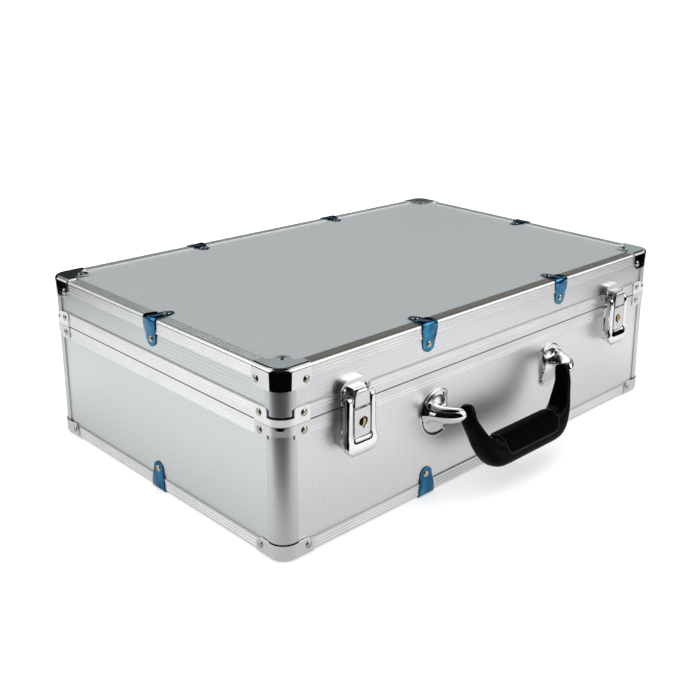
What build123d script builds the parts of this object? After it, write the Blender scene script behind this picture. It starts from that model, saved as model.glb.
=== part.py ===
# Aluminium carrying case with ribbed edge profiles, pressed corner caps,
# two key latches, a swinging grip and a hinged lid. Lengths in millimetres.
# The case lies on its underside: X runs along its length, the front with the
# latches and the grip faces -Y, and Z is up.
import os
from math import cos, radians, sin
from build123d import *

os.makedirs("parts", exist_ok=True)

# Case body, measured over its aluminium profiles
case_length = 460.0
case_width = 310.0
base_height = 103.0
lid_height = 41.2
rim_gap = 0.3

# Aluminium profiles and the panels that slide into them
wall = 1.0
panel_thickness = 3.0
slot_clearance = 0.1
edge_face = 11.5
edge_ledge = 10.3
edge_round = 2.5
base_rim_face = 11.0
lid_rim_face = 12.0
groove_width = 0.8
groove_depth = 0.35
groove_pitch = 2.4
groove_lead = 1.4
edge_grooves = 3
rim_grooves = 2
tongue_inset = 2.2
tongue_thickness = 1.2
tongue_height = 3.3
tongue_clearance = 1.2
bar_gap = 0.3

# Vertical corner posts
corner_radius = 12.0
post_leg = 15.0
panel_corner_clearance = 0.3

# Pressed steel corner caps
cap_sheet = 0.8
cap_leg = 28.5
top_cap_band = 15.5
bottom_cap_band = 12.5
cap_end_round = 6.0
cap_plate_leg = 8.5
cap_plate_reach = 26.0
cap_lobe_radius = 6.0
cap_lobe_inset = 18.5
cap_rivet_inset = 23.5
top_cap_rivet_drop = 10.3
bottom_cap_rivet_drop = 7.2
rim_cap_leg = 26.5
rim_cap_window = 12.8
lid_rim_cap_band = 5.2
base_rim_cap_band = 7.0
rim_cap_round = 2.0
rim_cap_rivet_inset = 21.0
lid_rim_cap_rivet_rise = 7.2
base_rim_cap_rivet_rise = 5.6

# Blue clips over the edges
clip_sheet = 0.8
clip_width = 19.0
clip_tip_width = 15.0
clip_drop = 23.5
clip_reach = 21.5
clip_top_tip_width = 10.0
clip_rivet_margin = 6.0
clip_spacing = 168.0
clip_step = 1.3

# Rivet heads
rivet_radius = 2.9
rivet_height = 1.1
low_rivet_height = 0.8

# Thin lining glued inside
lining_thickness = 2.0
lining_inset = 6.7
lining_rim_drop = 0.6
lining_corner = 5.0

# Latches
latch_spacing = 328.0
latch_width = 28.5
latch_sheet = 1.0
latch_face = 4.0
latch_margin = 0.2
catch_plate_height = 20.2
catch_plate_round = 8.0
catch_rivet_offset = 11.0
catch_rivet_rise = 12.1
base_plate_height = 31.0
base_plate_round = 3.0
lever_pivot_out = 7.5
lever_pivot_rise = 6.4
lever_pin_radius = 1.1
lever_eye_radius = 3.1
lever_front = 11.0
lever_lip = 12.6
lever_back = 5.0
lever_drop = 35.0
lever_side = 1.2
lever_round = 6.5
lever_plate = 1.4
ear_offset = 11.6
ear_thickness = 1.2
ear_radius = 1.9
ear_drop = 9.0
side_clearance = 0.25
pin_clearance = 0.05
hook_pivot_out = 9.5
hook_pin_radius = 0.8
hook_roll_radius = 1.4
hook_sheet = 1.4
hook_pivot_rise = 1.5
hook_rise = 9.0
hook_nose = 3.4
hook_clearance = 0.4
lug_thickness = 2.5
tile_width = 15.2
window_clearance = 0.5
window_drop = 1.0
tile_height = 21.5
tile_gap = 0.35
keeper_width = 12.0
keeper_out = 8.2
keeper_low = 9.0
keeper_high = 15.0
keeper_crest = 4.4
keeper_round = 1.4
key_drop = 10.5
cylinder_radius = 3.1
cylinder_stand = 0.3
cam_reach = 6.0
cam_width = 3.0
cam_thickness = 1.2
key_slot_length = 3.8
key_slot_width = 0.9
key_slot_depth = 2.0

# Grip, its brackets and its pins
grip_spacing = 146.0
bracket_height = 68.0
bracket_radius = 20.0
bracket_sheet = 1.2
bracket_flat = 11.0
horn_radius = 4.9
horn_bend = 9.0
horn_root_offset = 5.5
horn_flare = 2.0
horn_flare_length = 6.0
horn_tip_offset = 6.0
bracket_rivet_radius = 15.9
bracket_rivet_turns = (60, 180, 300)
grip_pivot_out = 22.0
grip_pivot_height = 72.0
grip_angle = 13.0
grip_pin_radius = 2.0
grip_pin_end = 1.0
grip_pin_depth = 7.5
grip_bore_depth = 8.0
eye_radius = 6.5
eye_width = 9.0
eye_gap = 0.4
grip_shoulder = 4.0
grip_shoulder_round = 12.0
arm_drop = 8.0
arm_round = 10.0
grip_high = 27.5
grip_low = 53.5
grip_depth = 22.0
grip_half_length = 47.5
grip_inner_half_length = 45.0
grip_outer_round = 13.0
grip_inner_round = 5.0
grip_section_round = 8.5
pad_half_length = 34.5
pad_back = 7.0
pad_low = 49.5
pad_slant = 16.0
pad_recess = 1.4
pad_crown = 0.6
pad_clearance = 0.2

# Hinges on the back
hinge_spacing = 270.0
hinge_width = 40.0
hinge_leaf = 1.5
hinge_leaf_height = 9.8
hinge_out = 3.2
hinge_radius = 3.0
hinge_pin_radius = 1.5
hinge_lid_knuckle = 18.0
hinge_gap = 0.3
hinge_rivet_spacing = 26.0

# Heights and places that follow from the sizes
base_bottom = cap_sheet
base_top = base_bottom + base_height
lid_bottom = base_top + rim_gap
lid_top = lid_bottom + lid_height
slot = panel_thickness + slot_clearance
panel_face = wall + slot_clearance / 2
channel = wall + slot + wall
seam = (base_top + lid_bottom) / 2
pieces = []


def finish(builder, label):
    """Name a finished piece and keep it for the export."""
    builder.part.label = label
    pieces.append(builder.part)


def side_plane(side, level, up):
    """Plane across an edge: x runs into the case, y away from the edge."""
    outward = {"front": (0, -1, 0), "rear": (0, 1, 0), "left": (-1, 0, 0), "right": (1, 0, 0)}[side]
    reach = case_width / 2 if side in ("front", "rear") else case_length / 2
    inward = Vector(*outward) * -1
    origin = Vector(*outward) * reach + Vector(0, 0, level)
    return Plane(origin=origin, x_dir=inward, z_dir=inward.cross(Vector(0, 0, up)))


def side_span(side):
    """Whole length of a side of the case."""
    return case_length if side in ("front", "rear") else case_width


def corner_planes(level, up):
    """Planes at the four corners, with x and y running along the two sides."""
    planes = []
    for across, along in ((-1, -1), (1, -1), (1, 1), (-1, 1)):
        by_length = Vector(-across, 0, 0)
        by_width = Vector(0, -along, 0)
        straight = by_length.cross(by_width).Z * up > 0
        start = by_length if straight else by_width
        place = (across * case_length / 2, along * case_width / 2, level)
        planes.append(Plane(origin=place, x_dir=start, z_dir=(0, 0, up)))
    return planes


# Cross-section of the ribbed edge profile: outer angle, slot floor and inner lip
with BuildSketch() as edge_section:
    with BuildLine():
        Polyline((0, 0), (edge_ledge, 0), (edge_ledge, wall), (wall, wall), (wall, edge_face), (0, edge_face), (0, 0))
    make_face()
    fillet(edge_section.vertices().sort_by_distance((0, 0))[0], edge_round)
    with Locations((wall / 2, wall + slot)):
        Rectangle(edge_ledge - wall / 2, wall, align=(Align.MIN, Align.MIN))
    with Locations((wall + slot, wall + slot)):
        Rectangle(wall, edge_face - wall - slot, align=(Align.MIN, Align.MIN))
    grooves = [edge_round + groove_lead + groove_pitch * count for count in range(edge_grooves)]
    with Locations(*[(0, place) for place in grooves]):
        Rectangle(2 * groove_depth, groove_width, mode=Mode.SUBTRACT)
    with Locations(*[(place, 0) for place in grooves]):
        Rectangle(groove_width, 2 * groove_depth, mode=Mode.SUBTRACT)

# Cross-section of the base rim with the tongue that the lid closes over
with BuildSketch() as base_rim_section:
    with Locations((0, -base_rim_face)):
        Rectangle(wall, base_rim_face, align=(Align.MIN, Align.MIN))
    with Locations((wall / 2, -wall)):
        Rectangle(channel - wall / 2, wall, align=(Align.MIN, Align.MIN))
    with Locations((wall + slot, -base_rim_face)):
        Rectangle(wall, base_rim_face - wall / 2, align=(Align.MIN, Align.MIN))
    with Locations((tongue_inset, -wall / 2)):
        Rectangle(tongue_thickness, tongue_height + wall / 2, align=(Align.MIN, Align.MIN))
    with Locations(*[(0, -base_rim_face + groove_pitch * (count + 1)) for count in range(rim_grooves)]):
        Rectangle(2 * groove_depth, groove_width, mode=Mode.SUBTRACT)

# Cross-section of the lid rim, grooved below for the tongue and slotted above
with BuildSketch() as lid_rim_section:
    Rectangle(wall, lid_rim_face, align=(Align.MIN, Align.MIN))
    with Locations((wall / 2, tongue_height + tongue_clearance)):
        Rectangle(channel + wall / 2, wall, align=(Align.MIN, Align.MIN))
    with Locations((wall + slot, tongue_height + tongue_clearance)):
        Rectangle(wall, lid_rim_face - tongue_height - tongue_clearance, align=(Align.MIN, Align.MIN))
    with Locations((channel, 0)):
        Rectangle(wall, tongue_height + tongue_clearance + wall, align=(Align.MIN, Align.MIN))
    with Locations(*[(0, lid_rim_face - groove_pitch * (count + 1)) for count in range(rim_grooves)]):
        Rectangle(2 * groove_depth, groove_width, mode=Mode.SUBTRACT)

# Cross-section of a corner post: rounded skin with flat flanges and an inner angle
with BuildSketch() as post_section:
    Rectangle(post_leg, post_leg, align=(Align.MIN, Align.MIN))
    fillet(post_section.vertices().sort_by_distance((0, 0))[0], corner_radius)
    with BuildSketch(mode=Mode.PRIVATE) as post_hollow:
        with Locations((wall, wall)):
            Rectangle(post_leg, post_leg, align=(Align.MIN, Align.MIN))
        fillet(post_hollow.vertices().sort_by_distance((wall, wall))[0], corner_radius - wall)
    add(post_hollow.sketch, mode=Mode.SUBTRACT)
    with Locations((wall + slot, wall + slot)):
        Rectangle(post_leg - wall - slot, wall, align=(Align.MIN, Align.MIN))
        Rectangle(wall, post_leg - wall - slot, align=(Align.MIN, Align.MIN))


def profile_bar(section, side, level, up):
    """One straight length of profile along a side, between two corner posts."""
    with BuildPart() as bar:
        with BuildSketch(side_plane(side, level, up)):
            add(section.sketch)
        extrude(amount=side_span(side) / 2 - post_leg - bar_gap, both=True)
    return bar


def side_panel(side, low, high):
    """One flat panel, held by its edges in the slots of the profiles and posts."""
    half_span = side_span(side) / 2 - corner_radius - panel_corner_clearance
    with BuildPart() as panel:
        with BuildSketch(side_plane(side, low, 1)):
            with Locations((panel_face, 0)):
                Rectangle(panel_thickness, high - low, align=(Align.MIN, Align.MIN))
        extrude(amount=half_span, both=True)
    return panel


def flat_panel(low):
    """The floor or the top, let into the slots of the four edge profiles."""
    with BuildPart() as panel:
        with BuildSketch(Plane.XY.offset(low)):
            RectangleRounded(case_length - 2 * panel_face, case_width - 2 * panel_face, corner_radius - panel_face)
        extrude(amount=panel_thickness)
    return panel


# Profiles and panels of the base and of the lid
base_panel_low = base_bottom + channel
base_panel_high = base_top - wall - slot_clearance
lid_panel_low = lid_bottom + tongue_height + tongue_clearance + wall
lid_panel_high = lid_top - channel
for side in ("front", "rear", "left", "right"):
    finish(profile_bar(edge_section, side, base_bottom, 1), "base_edge_" + side)
    finish(profile_bar(base_rim_section, side, base_top, 1), "base_rim_" + side)
    finish(profile_bar(lid_rim_section, side, lid_bottom, 1), "lid_rim_" + side)
    finish(profile_bar(edge_section, side, lid_top, -1), "lid_edge_" + side)
    finish(side_panel(side, base_panel_low, base_panel_high), "base_panel_" + side)
    finish(side_panel(side, lid_panel_low, lid_panel_high), "lid_panel_" + side)
finish(flat_panel(base_bottom + panel_face), "base_floor_panel")
finish(flat_panel(lid_top - panel_face - panel_thickness), "lid_top_panel")

# Corner posts stand between the flat panel and the rim
with BuildPart() as base_corner_posts:
    with BuildSketch(*corner_planes(base_bottom + wall + slot, 1)):
        add(post_section.sketch)
    extrude(amount=base_height - wall - slot)
finish(base_corner_posts, "base_corner_posts")

with BuildPart() as lid_corner_posts:
    with BuildSketch(*corner_planes(lid_bottom, 1)):
        add(post_section.sketch)
    extrude(amount=lid_height - wall - slot)
finish(lid_corner_posts, "lid_corner_posts")


def lining_pan(low, high, closed_below):
    """A thin tray of lining: walls all round and one closed face."""
    length = case_length - 2 * lining_inset
    width = case_width - 2 * lining_inset
    with BuildPart() as pan:
        with BuildSketch(Plane.XY.offset(low)):
            RectangleRounded(length, width, lining_corner)
        extrude(amount=high - low)
        open_face = pan.faces().sort_by(Axis.Z)[-1 if closed_below else 0]
        offset(amount=-lining_thickness, openings=open_face)
    return pan


finish(lining_pan(base_bottom + channel + slot_clearance, base_top - lining_rim_drop, True), "base_lining")
finish(lining_pan(lid_bottom + lining_rim_drop, lid_top - channel - slot_clearance, False), "lid_lining")


def corner_block(margin, leg, low, high, rounding):
    """A rounded outer corner of the case, grown outwards by a margin."""
    with BuildPart() as block:
        with BuildSketch(Plane.XY.offset(low)) as outline:
            with Locations((-margin, -margin)):
                Rectangle(leg + margin, leg + margin, align=(Align.MIN, Align.MIN))
            fillet(outline.vertices().sort_by_distance((-margin, -margin))[0], corner_radius + margin)
        extrude(amount=high - low)
        if rounding:
            rim = block.edges().group_by(Axis.Z)[-1]
            rim = [edge for edge in rim if min(edge.center().X, edge.center().Y) < corner_radius]
            fillet(rim, rounding)
    return block


def corner_cap(band):
    """Three-way cap: two side bands with rounded ends and a lobed plate."""
    inner = corner_block(0, cap_leg + cap_sheet, -band - cap_sheet, 0, edge_round)
    with BuildPart() as cap:
        add(corner_block(cap_sheet, cap_leg, -band, cap_sheet, edge_round + cap_sheet).part)
        add(inner.part, mode=Mode.SUBTRACT)
        with BuildSketch(Plane.XY.offset(-cap_sheet)):
            with Locations((cap_plate_leg, cap_plate_leg)):
                Rectangle(cap_leg, cap_leg, align=(Align.MIN, Align.MIN))
            with BuildLine():
                Polyline((0, 0), (cap_plate_reach, cap_plate_leg), (cap_plate_leg, cap_plate_reach), (0, 0))
            make_face(mode=Mode.SUBTRACT)
            with Locations((cap_lobe_inset, cap_lobe_inset)):
                Circle(cap_lobe_radius, mode=Mode.SUBTRACT)
        extrude(amount=3 * cap_sheet, mode=Mode.SUBTRACT)
        for plane in (Plane.XZ, Plane.YZ):
            with BuildSketch(plane) as trim:
                with Locations((cap_leg, -band)):
                    Rectangle(2 * cap_end_round, 2 * cap_end_round)
                with Locations((cap_leg - cap_end_round, -band + cap_end_round)):
                    Circle(cap_end_round, mode=Mode.SUBTRACT)
                    Rectangle(cap_end_round, cap_end_round, align=(Align.MAX, Align.MAX), mode=Mode.SUBTRACT)
            extrude(amount=2 * cap_sheet, both=True, mode=Mode.SUBTRACT)
    return cap


def rim_cap(height, band):
    """Two-way cap at the rim: raised ears beside a window for the post."""
    with BuildPart() as cap:
        add(corner_block(cap_sheet, rim_cap_leg, -height, 0, 0).part)
        add(corner_block(0, rim_cap_leg + cap_sheet, -height, 0, 0).part, mode=Mode.SUBTRACT)
        with BuildSketch(Plane.XY.offset(-height)):
            with Locations((-cap_sheet, -cap_sheet)):
                Rectangle(rim_cap_window + cap_sheet, rim_cap_window + cap_sheet, align=(Align.MIN, Align.MIN))
        extrude(amount=height - band, mode=Mode.SUBTRACT)
        lows = cap.edges().group_by(Axis.Z)[0]
        ends = [edge for edge in lows if abs(edge.length - cap_sheet) < cap_sheet / 2]
        fillet(ends, rim_cap_round)
    return cap


top_cap_form = corner_cap(top_cap_band)
bottom_cap_form = corner_cap(bottom_cap_band)
lid_rim_cap_form = rim_cap(lid_rim_face, lid_rim_cap_band)
base_rim_cap_form = rim_cap(base_rim_face, base_rim_cap_band)
cap_sets = (
    ("lid_top_caps", top_cap_form, corner_planes(lid_top, 1)),
    ("lid_rim_caps", lid_rim_cap_form, corner_planes(lid_bottom, -1)),
    ("base_rim_caps", base_rim_cap_form, corner_planes(base_top, 1)),
    ("base_bottom_caps", bottom_cap_form, corner_planes(base_bottom, -1)),
)
for label, form, planes in cap_sets:
    with BuildPart() as cap_group:
        with Locations(*planes):
            add(form.part)
    finish(cap_group, label)

# Blue clip: bent over the edge and set in to the panels on both legs
with BuildPart() as clip_form:
    half = clip_sheet / 2
    with BuildSketch(Plane.YZ):
        with BuildLine():
            FilletPolyline(
                (clip_reach, half - panel_face),
                (edge_ledge + clip_step + half, half - panel_face),
                (edge_ledge + half, half),
                (-half, half),
                (-half, -edge_face - half),
                (panel_face - half, -edge_face - clip_step - half),
                (panel_face - half, -clip_drop),
                radius=[half, half, edge_round + half, half, half],
            )
        trace(line_width=clip_sheet)
    extrude(amount=clip_width / 2, both=True)
    with BuildSketch(Plane.XZ.offset(-panel_face)):
        with Locations((0, -edge_face)):
            Rectangle(2 * clip_width, 2 * clip_drop, align=(Align.CENTER, Align.MAX))
        with BuildLine():
            tip = clip_tip_width / 2
            Polyline((-clip_width / 2, -edge_face), (-tip, tip - clip_drop), (tip, tip - clip_drop), (clip_width / 2, -edge_face), close=True)
        make_face(mode=Mode.SUBTRACT)
        with Locations((0, tip - clip_drop)):
            Circle(tip, mode=Mode.SUBTRACT)
    extrude(amount=2 * (panel_face + clip_sheet), mode=Mode.SUBTRACT)
    with BuildSketch(Plane.XY.offset(-panel_face)):
        with Locations((0, edge_round)):
            Rectangle(2 * clip_width, 2 * clip_reach, align=(Align.CENTER, Align.MIN))
        with BuildLine():
            nose = clip_top_tip_width / 2
            Polyline((-clip_width / 2, edge_round), (-nose, clip_reach - nose), (nose, clip_reach - nose), (clip_width / 2, edge_round), close=True)
        make_face(mode=Mode.SUBTRACT)
        with Locations((0, clip_reach - nose)):
            Circle(nose, mode=Mode.SUBTRACT)
    extrude(amount=2 * (panel_face + clip_sheet), mode=Mode.SUBTRACT)


def clip_planes(level, up):
    """Planes on the edges where the clips sit: y into the case, z away from it."""
    planes = []
    for side, hand in (("front", -1), ("front", 1), ("rear", -1), ("rear", 1), ("left", 0), ("right", 0)):
        edge = side_plane(side, level, up)
        inward = edge.x_dir
        outward = Vector(0, 0, up)
        along = inward.cross(outward)
        planes.append(Plane(origin=edge.origin + along * hand * clip_spacing / 2, x_dir=along, z_dir=outward))
    return planes


clip_sets = (("lid_clips", clip_planes(lid_top, 1)), ("base_clips", clip_planes(base_bottom, -1)))
for label, planes in clip_sets:
    with BuildPart() as clip_group:
        with Locations(*planes):
            add(clip_form.part)
    finish(clip_group, label)


def latch_front(across, out):
    """Plane in front of a latch: x along the case, y up, z outwards."""
    return Plane(origin=(across, -case_width / 2 - out, 0), x_dir=(1, 0, 0), z_dir=(0, -1, 0))


def latch_profile(across):
    """Plane through the middle of a latch: x outwards, y up."""
    return Plane(origin=(across, -case_width / 2, 0), x_dir=(0, -1, 0), z_dir=(-1, 0, 0))


def rod(profile, place, radius, reach):
    """A round rod along X, centred at a place on the profile plane."""
    with BuildPart() as bar:
        with BuildSketch(profile):
            with Locations(place):
                Circle(radius)
        extrude(amount=reach, both=True)
    return bar.part


latch_places = (("left", -latch_spacing / 2), ("right", latch_spacing / 2))
latch_half = latch_width / 2
lever_pivot = (lever_pivot_out, lid_bottom + lever_pivot_rise)
hook_pivot = (hook_pivot_out, seam + hook_pivot_rise)
tile_top = hook_pivot[1] - hook_roll_radius - tile_gap
tile_bottom = tile_top - tile_height
key_height = tile_top - key_drop

# Catch plates: shallow pans on the lid with a rolled keeper in the middle
with BuildPart() as latch_catch_plates:
    for name, across in latch_places:
        low = lid_bottom + latch_margin
        high = lid_bottom + catch_plate_height
        with BuildSketch(latch_front(across, -panel_face)) as outline:
            with Locations((0, low)):
                Rectangle(latch_width, high - low, align=(Align.CENTER, Align.MIN))
            fillet(outline.vertices().group_by(Axis.Y)[-1], catch_plate_round)
        extrude(amount=latch_face + panel_face)
        with BuildSketch(latch_front(across, -panel_face)) as hollow:
            with Locations((0, low - latch_sheet)):
                Rectangle(latch_width - 2 * latch_sheet, high - low, align=(Align.CENTER, Align.MIN))
            fillet(hollow.vertices().group_by(Axis.Y)[-1], catch_plate_round - latch_sheet)
        extrude(amount=latch_face + panel_face - latch_sheet, mode=Mode.SUBTRACT)
        with BuildSketch(latch_front(across, -panel_face)):
            with Locations((0, lid_bottom)):
                Rectangle(2 * latch_width, lid_rim_face, align=(Align.CENTER, Align.MIN))
        extrude(amount=panel_face, mode=Mode.SUBTRACT)
        with BuildSketch(latch_profile(across)) as keeper:
            foot = latch_face - latch_sheet / 2
            with BuildLine():
                Polyline(
                    (foot, lid_bottom + keeper_low),
                    (keeper_out, lid_bottom + keeper_high - keeper_crest),
                    (keeper_out, lid_bottom + keeper_high),
                    (foot, lid_bottom + keeper_high),
                    close=True,
                )
            make_face()
            fillet(keeper.vertices().group_by(Axis.X)[-1], keeper_round)
        extrude(amount=keeper_width / 2, both=True)
finish(latch_catch_plates, "latch_catch_plates")

# Base plates: pans below the seam, each with two ears that carry the lever
with BuildPart() as latch_base_plates:
    for name, across in latch_places:
        high = base_top - latch_margin
        low = base_top - base_plate_height
        with BuildSketch(latch_front(across, -panel_face)) as outline:
            with Locations((0, low)):
                Rectangle(latch_width, high - low, align=(Align.CENTER, Align.MIN))
            fillet(outline.vertices().group_by(Axis.Y)[0], base_plate_round)
        extrude(amount=latch_face + panel_face)
        with BuildSketch(latch_front(across, -panel_face)) as hollow:
            with Locations((0, low + latch_sheet)):
                Rectangle(latch_width - 2 * latch_sheet, high - low, align=(Align.CENTER, Align.MIN))
            fillet(hollow.vertices().group_by(Axis.Y)[0], base_plate_round - latch_sheet)
        extrude(amount=latch_face + panel_face - latch_sheet, mode=Mode.SUBTRACT)
        with BuildSketch(latch_front(across, -panel_face)):
            with Locations((0, base_top - base_rim_face)):
                Rectangle(2 * latch_width, base_rim_face, align=(Align.CENTER, Align.MIN))
        extrude(amount=panel_face, mode=Mode.SUBTRACT)
        for hand in (-1, 1):
            middle = hand * (ear_offset + ear_thickness / 2)
            with BuildSketch(latch_profile(across + middle)):
                with BuildLine():
                    Polyline(
                        (latch_face - latch_sheet / 2, high - ear_drop),
                        (lever_pivot_out, high - ear_drop),
                        (lever_pivot_out + ear_radius, lever_pivot[1]),
                        (lever_pivot_out - ear_radius, lever_pivot[1]),
                        (lever_pivot_out - ear_radius, high),
                        (latch_face - latch_sheet / 2, high),
                        close=True,
                    )
                make_face()
                with Locations(lever_pivot):
                    Circle(ear_radius)
                    Circle(lever_pin_radius, mode=Mode.SUBTRACT)
            extrude(amount=ear_thickness / 2, both=True)
finish(latch_base_plates, "latch_base_plates")

# Pivot pins of the levers: two short studs on each latch
with BuildPart() as latch_pivot_pins:
    for name, across in latch_places:
        for hand in (-1, 1):
            middle = across + hand * (ear_offset + latch_half) / 2
            add(rod(latch_profile(middle), lever_pivot, lever_pin_radius, (latch_half - ear_offset) / 2))
finish(latch_pivot_pins, "latch_pivot_pins")


# Side view of a lever: eye at the pivot, flat front and a curled lip
with BuildSketch() as lever_outline:
    top = lever_pivot[1]
    bottom = base_top - lever_drop
    with BuildLine():
        Polyline(
            (lever_pivot_out - lever_eye_radius, top),
            (lever_back, top - lever_eye_radius),
            (lever_back, bottom + lever_round),
            (lever_front - lever_plate, bottom),
            (lever_lip, bottom),
            (lever_lip, bottom + lever_round / 2),
            (lever_front, tile_bottom),
            (lever_front, hook_pivot[1]),
            (lever_pivot_out + lever_eye_radius, top),
            close=True,
        )
    make_face()
    with Locations(lever_pivot):
        Circle(lever_eye_radius)


for name, across in latch_places:
    bottom = base_top - lever_drop
    window = tile_width + 2 * window_clearance
    lug_middle = window / 2 + lug_thickness / 2
    profile = latch_profile(across)
    with BuildPart() as lever:
        with BuildSketch(profile):
            add(lever_outline.sketch)
        extrude(amount=latch_half, both=True)
        with BuildSketch(latch_front(across, 0)) as face:
            with Locations((0, bottom)):
                Rectangle(latch_width, 2 * lever_drop, align=(Align.CENTER, Align.MIN))
            fillet(face.vertices().group_by(Axis.Y)[0], lever_round)
        extrude(amount=2 * lever_lip, mode=Mode.INTERSECT)
        with BuildSketch(latch_front(across, 0)):
            with Locations((0, bottom + lever_side)):
                Rectangle(latch_width - 2 * lever_side, 2 * lever_drop, align=(Align.CENTER, Align.MIN))
        extrude(amount=lever_front - lever_plate, mode=Mode.SUBTRACT)
        for hand in (-1, 1):
            with BuildSketch(latch_profile(across + hand * lug_middle)):
                with Locations(hook_pivot):
                    Circle(hook_roll_radius)
            extrude(amount=lug_thickness / 2, both=True)
        with BuildSketch(latch_front(across, 0)) as opening:
            with Locations((0, tile_bottom - window_drop)):
                Rectangle(window, 2 * lever_drop, align=(Align.CENTER, Align.MIN))
            fillet(opening.vertices().group_by(Axis.Y)[0], base_plate_round)
        extrude(amount=2 * lever_lip, mode=Mode.SUBTRACT)
        add(rod(profile, lever_pivot, lever_pin_radius + pin_clearance, latch_width), mode=Mode.SUBTRACT)
        add(rod(profile, hook_pivot, hook_pin_radius, latch_half), mode=Mode.SUBTRACT)
    finish(lever, "latch_lever_" + name)

    with BuildPart() as hook_pin:
        add(rod(profile, hook_pivot, hook_pin_radius, lug_middle + lug_thickness / 2))
    finish(hook_pin, "latch_hook_pin_" + name)

    # Draw hook: rolled round its pin, flat in front, curled in at the keeper
    with BuildPart() as hook:
        low = hook_pivot[1]
        top = low + hook_rise
        back = lever_front - hook_sheet
        with BuildSketch(profile):
            with BuildLine():
                Polyline(
                    (hook_pivot_out, low),
                    (lever_front, low),
                    (lever_front, top),
                    (keeper_out + hook_clearance, top + hook_nose),
                    (keeper_out + hook_clearance, top + hook_nose - hook_sheet),
                    (back, top - hook_sheet / 2),
                    (back, low + hook_roll_radius),
                    (hook_pivot_out, low + hook_roll_radius),
                    close=True,
                )
            make_face()
            with Locations(hook_pivot):
                Circle(hook_roll_radius)
                Circle(hook_pin_radius + pin_clearance, mode=Mode.SUBTRACT)
        extrude(amount=tile_width / 2, both=True)
    finish(hook, "latch_hook_" + name)

    # Key cylinder: brass plug with its keyhole, and a cam behind the lock body
    with BuildPart() as cylinder:
        with BuildSketch(latch_front(across, latch_face + cylinder_stand)):
            with Locations((0, key_height)):
                Rectangle(cam_reach, cam_width, align=(Align.MIN, Align.CENTER))
                Circle(cylinder_radius)
        extrude(amount=cam_thickness)
        with BuildSketch(latch_front(across, latch_face + cylinder_stand)):
            with Locations((0, key_height)):
                Circle(cylinder_radius)
        extrude(amount=lever_front - latch_face)
        with BuildSketch(latch_front(across, lever_front + cylinder_stand)):
            with Locations((0, key_height)):
                Rectangle(key_slot_width, key_slot_length)
        extrude(amount=-key_slot_depth, mode=Mode.SUBTRACT)
    finish(cylinder, "latch_cylinder_" + name)

# Lock bodies: the flat tiles between the arms of the levers
with BuildPart() as latch_lock_bodies:
    for name, across in latch_places:
        with BuildSketch(latch_front(across, latch_face)) as tile:
            with Locations((0, tile_bottom)):
                Rectangle(tile_width, tile_height, align=(Align.CENTER, Align.MIN))
            fillet(tile.vertices().group_by(Axis.Y)[0], base_plate_round - window_clearance)
        extrude(amount=lever_front - latch_face)
        with BuildSketch(latch_front(across, latch_face)):
            with Locations((0, key_height)):
                Circle(cylinder_radius + pin_clearance)
        extrude(amount=lever_front, mode=Mode.SUBTRACT)
        with BuildSketch(latch_front(across, latch_face)):
            with Locations((0, key_height)):
                Circle(cam_reach + side_clearance)
        extrude(amount=cylinder_stand + cam_thickness + side_clearance, mode=Mode.SUBTRACT)
finish(latch_lock_bodies, "latch_lock_bodies")

# Grip brackets: a cut round flange and a horn that bends round to its bore
grip_pivot = Vector(0, -case_width / 2 - grip_pivot_out, grip_pivot_height)
for name, hand in (("left", -1), ("right", 1)):
    middle = hand * grip_spacing / 2
    with BuildPart() as bracket:
        with BuildSketch(latch_front(middle, -panel_face)):
            with Locations((0, bracket_height)):
                Circle(bracket_radius)
            with Locations((-hand * bracket_flat, bracket_height)):
                align_side = Align.MAX if hand > 0 else Align.MIN
                cut_size = 2 * bracket_radius
                Rectangle(cut_size, cut_size, align=(align_side, Align.CENTER), mode=Mode.SUBTRACT)
        extrude(amount=bracket_sheet)
        root = Vector(middle + hand * horn_root_offset, -case_width / 2 + panel_face - bracket_sheet, grip_pivot_height)
        bend = Vector(root.X, -case_width / 2 - grip_pivot_out, grip_pivot_height)
        tip = Vector(middle - hand * horn_tip_offset, bend.Y, grip_pivot_height)
        with BuildLine():
            FilletPolyline(root, bend, tip, radius=horn_bend)
        with BuildSketch(Plane(origin=root, z_dir=(0, -1, 0))):
            Circle(horn_radius)
        sweep()
        with Locations(Plane(origin=root, z_dir=(0, -1, 0))):
            Cone(horn_radius + horn_flare, horn_radius, horn_flare_length, align=(Align.CENTER, Align.CENTER, Align.MIN))
        add(rod(latch_profile(tip.X), (grip_pivot_out, grip_pivot_height), grip_pin_radius, grip_bore_depth), mode=Mode.SUBTRACT)
    finish(bracket, "grip_bracket_" + name)

eye_outer = grip_spacing / 2 - horn_tip_offset - eye_gap
eye_inner = eye_outer - eye_width
with BuildPart() as grip_pins:
    for hand in (-1, 1):
        pin_outer = grip_spacing / 2 - horn_tip_offset + grip_pin_depth
        pin_inner = eye_inner + grip_pin_end
        middle = hand * (pin_inner + pin_outer) / 2
        add(rod(latch_profile(middle), (grip_pivot_out, grip_pivot_height), grip_pin_radius, (pin_outer - pin_inner) / 2))
finish(grip_pins, "grip_pins")

# Moulded grip: its front outline and its side outline cut each other
lean = Vector(0, -cos(radians(grip_angle)), sin(radians(grip_angle)))
grip_front = Plane(origin=grip_pivot, x_dir=(1, 0, 0), z_dir=lean)
grip_side = Plane(origin=grip_pivot, x_dir=lean, z_dir=(-1, 0, 0))
bar_middle = (grip_high + grip_low) / 2


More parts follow.
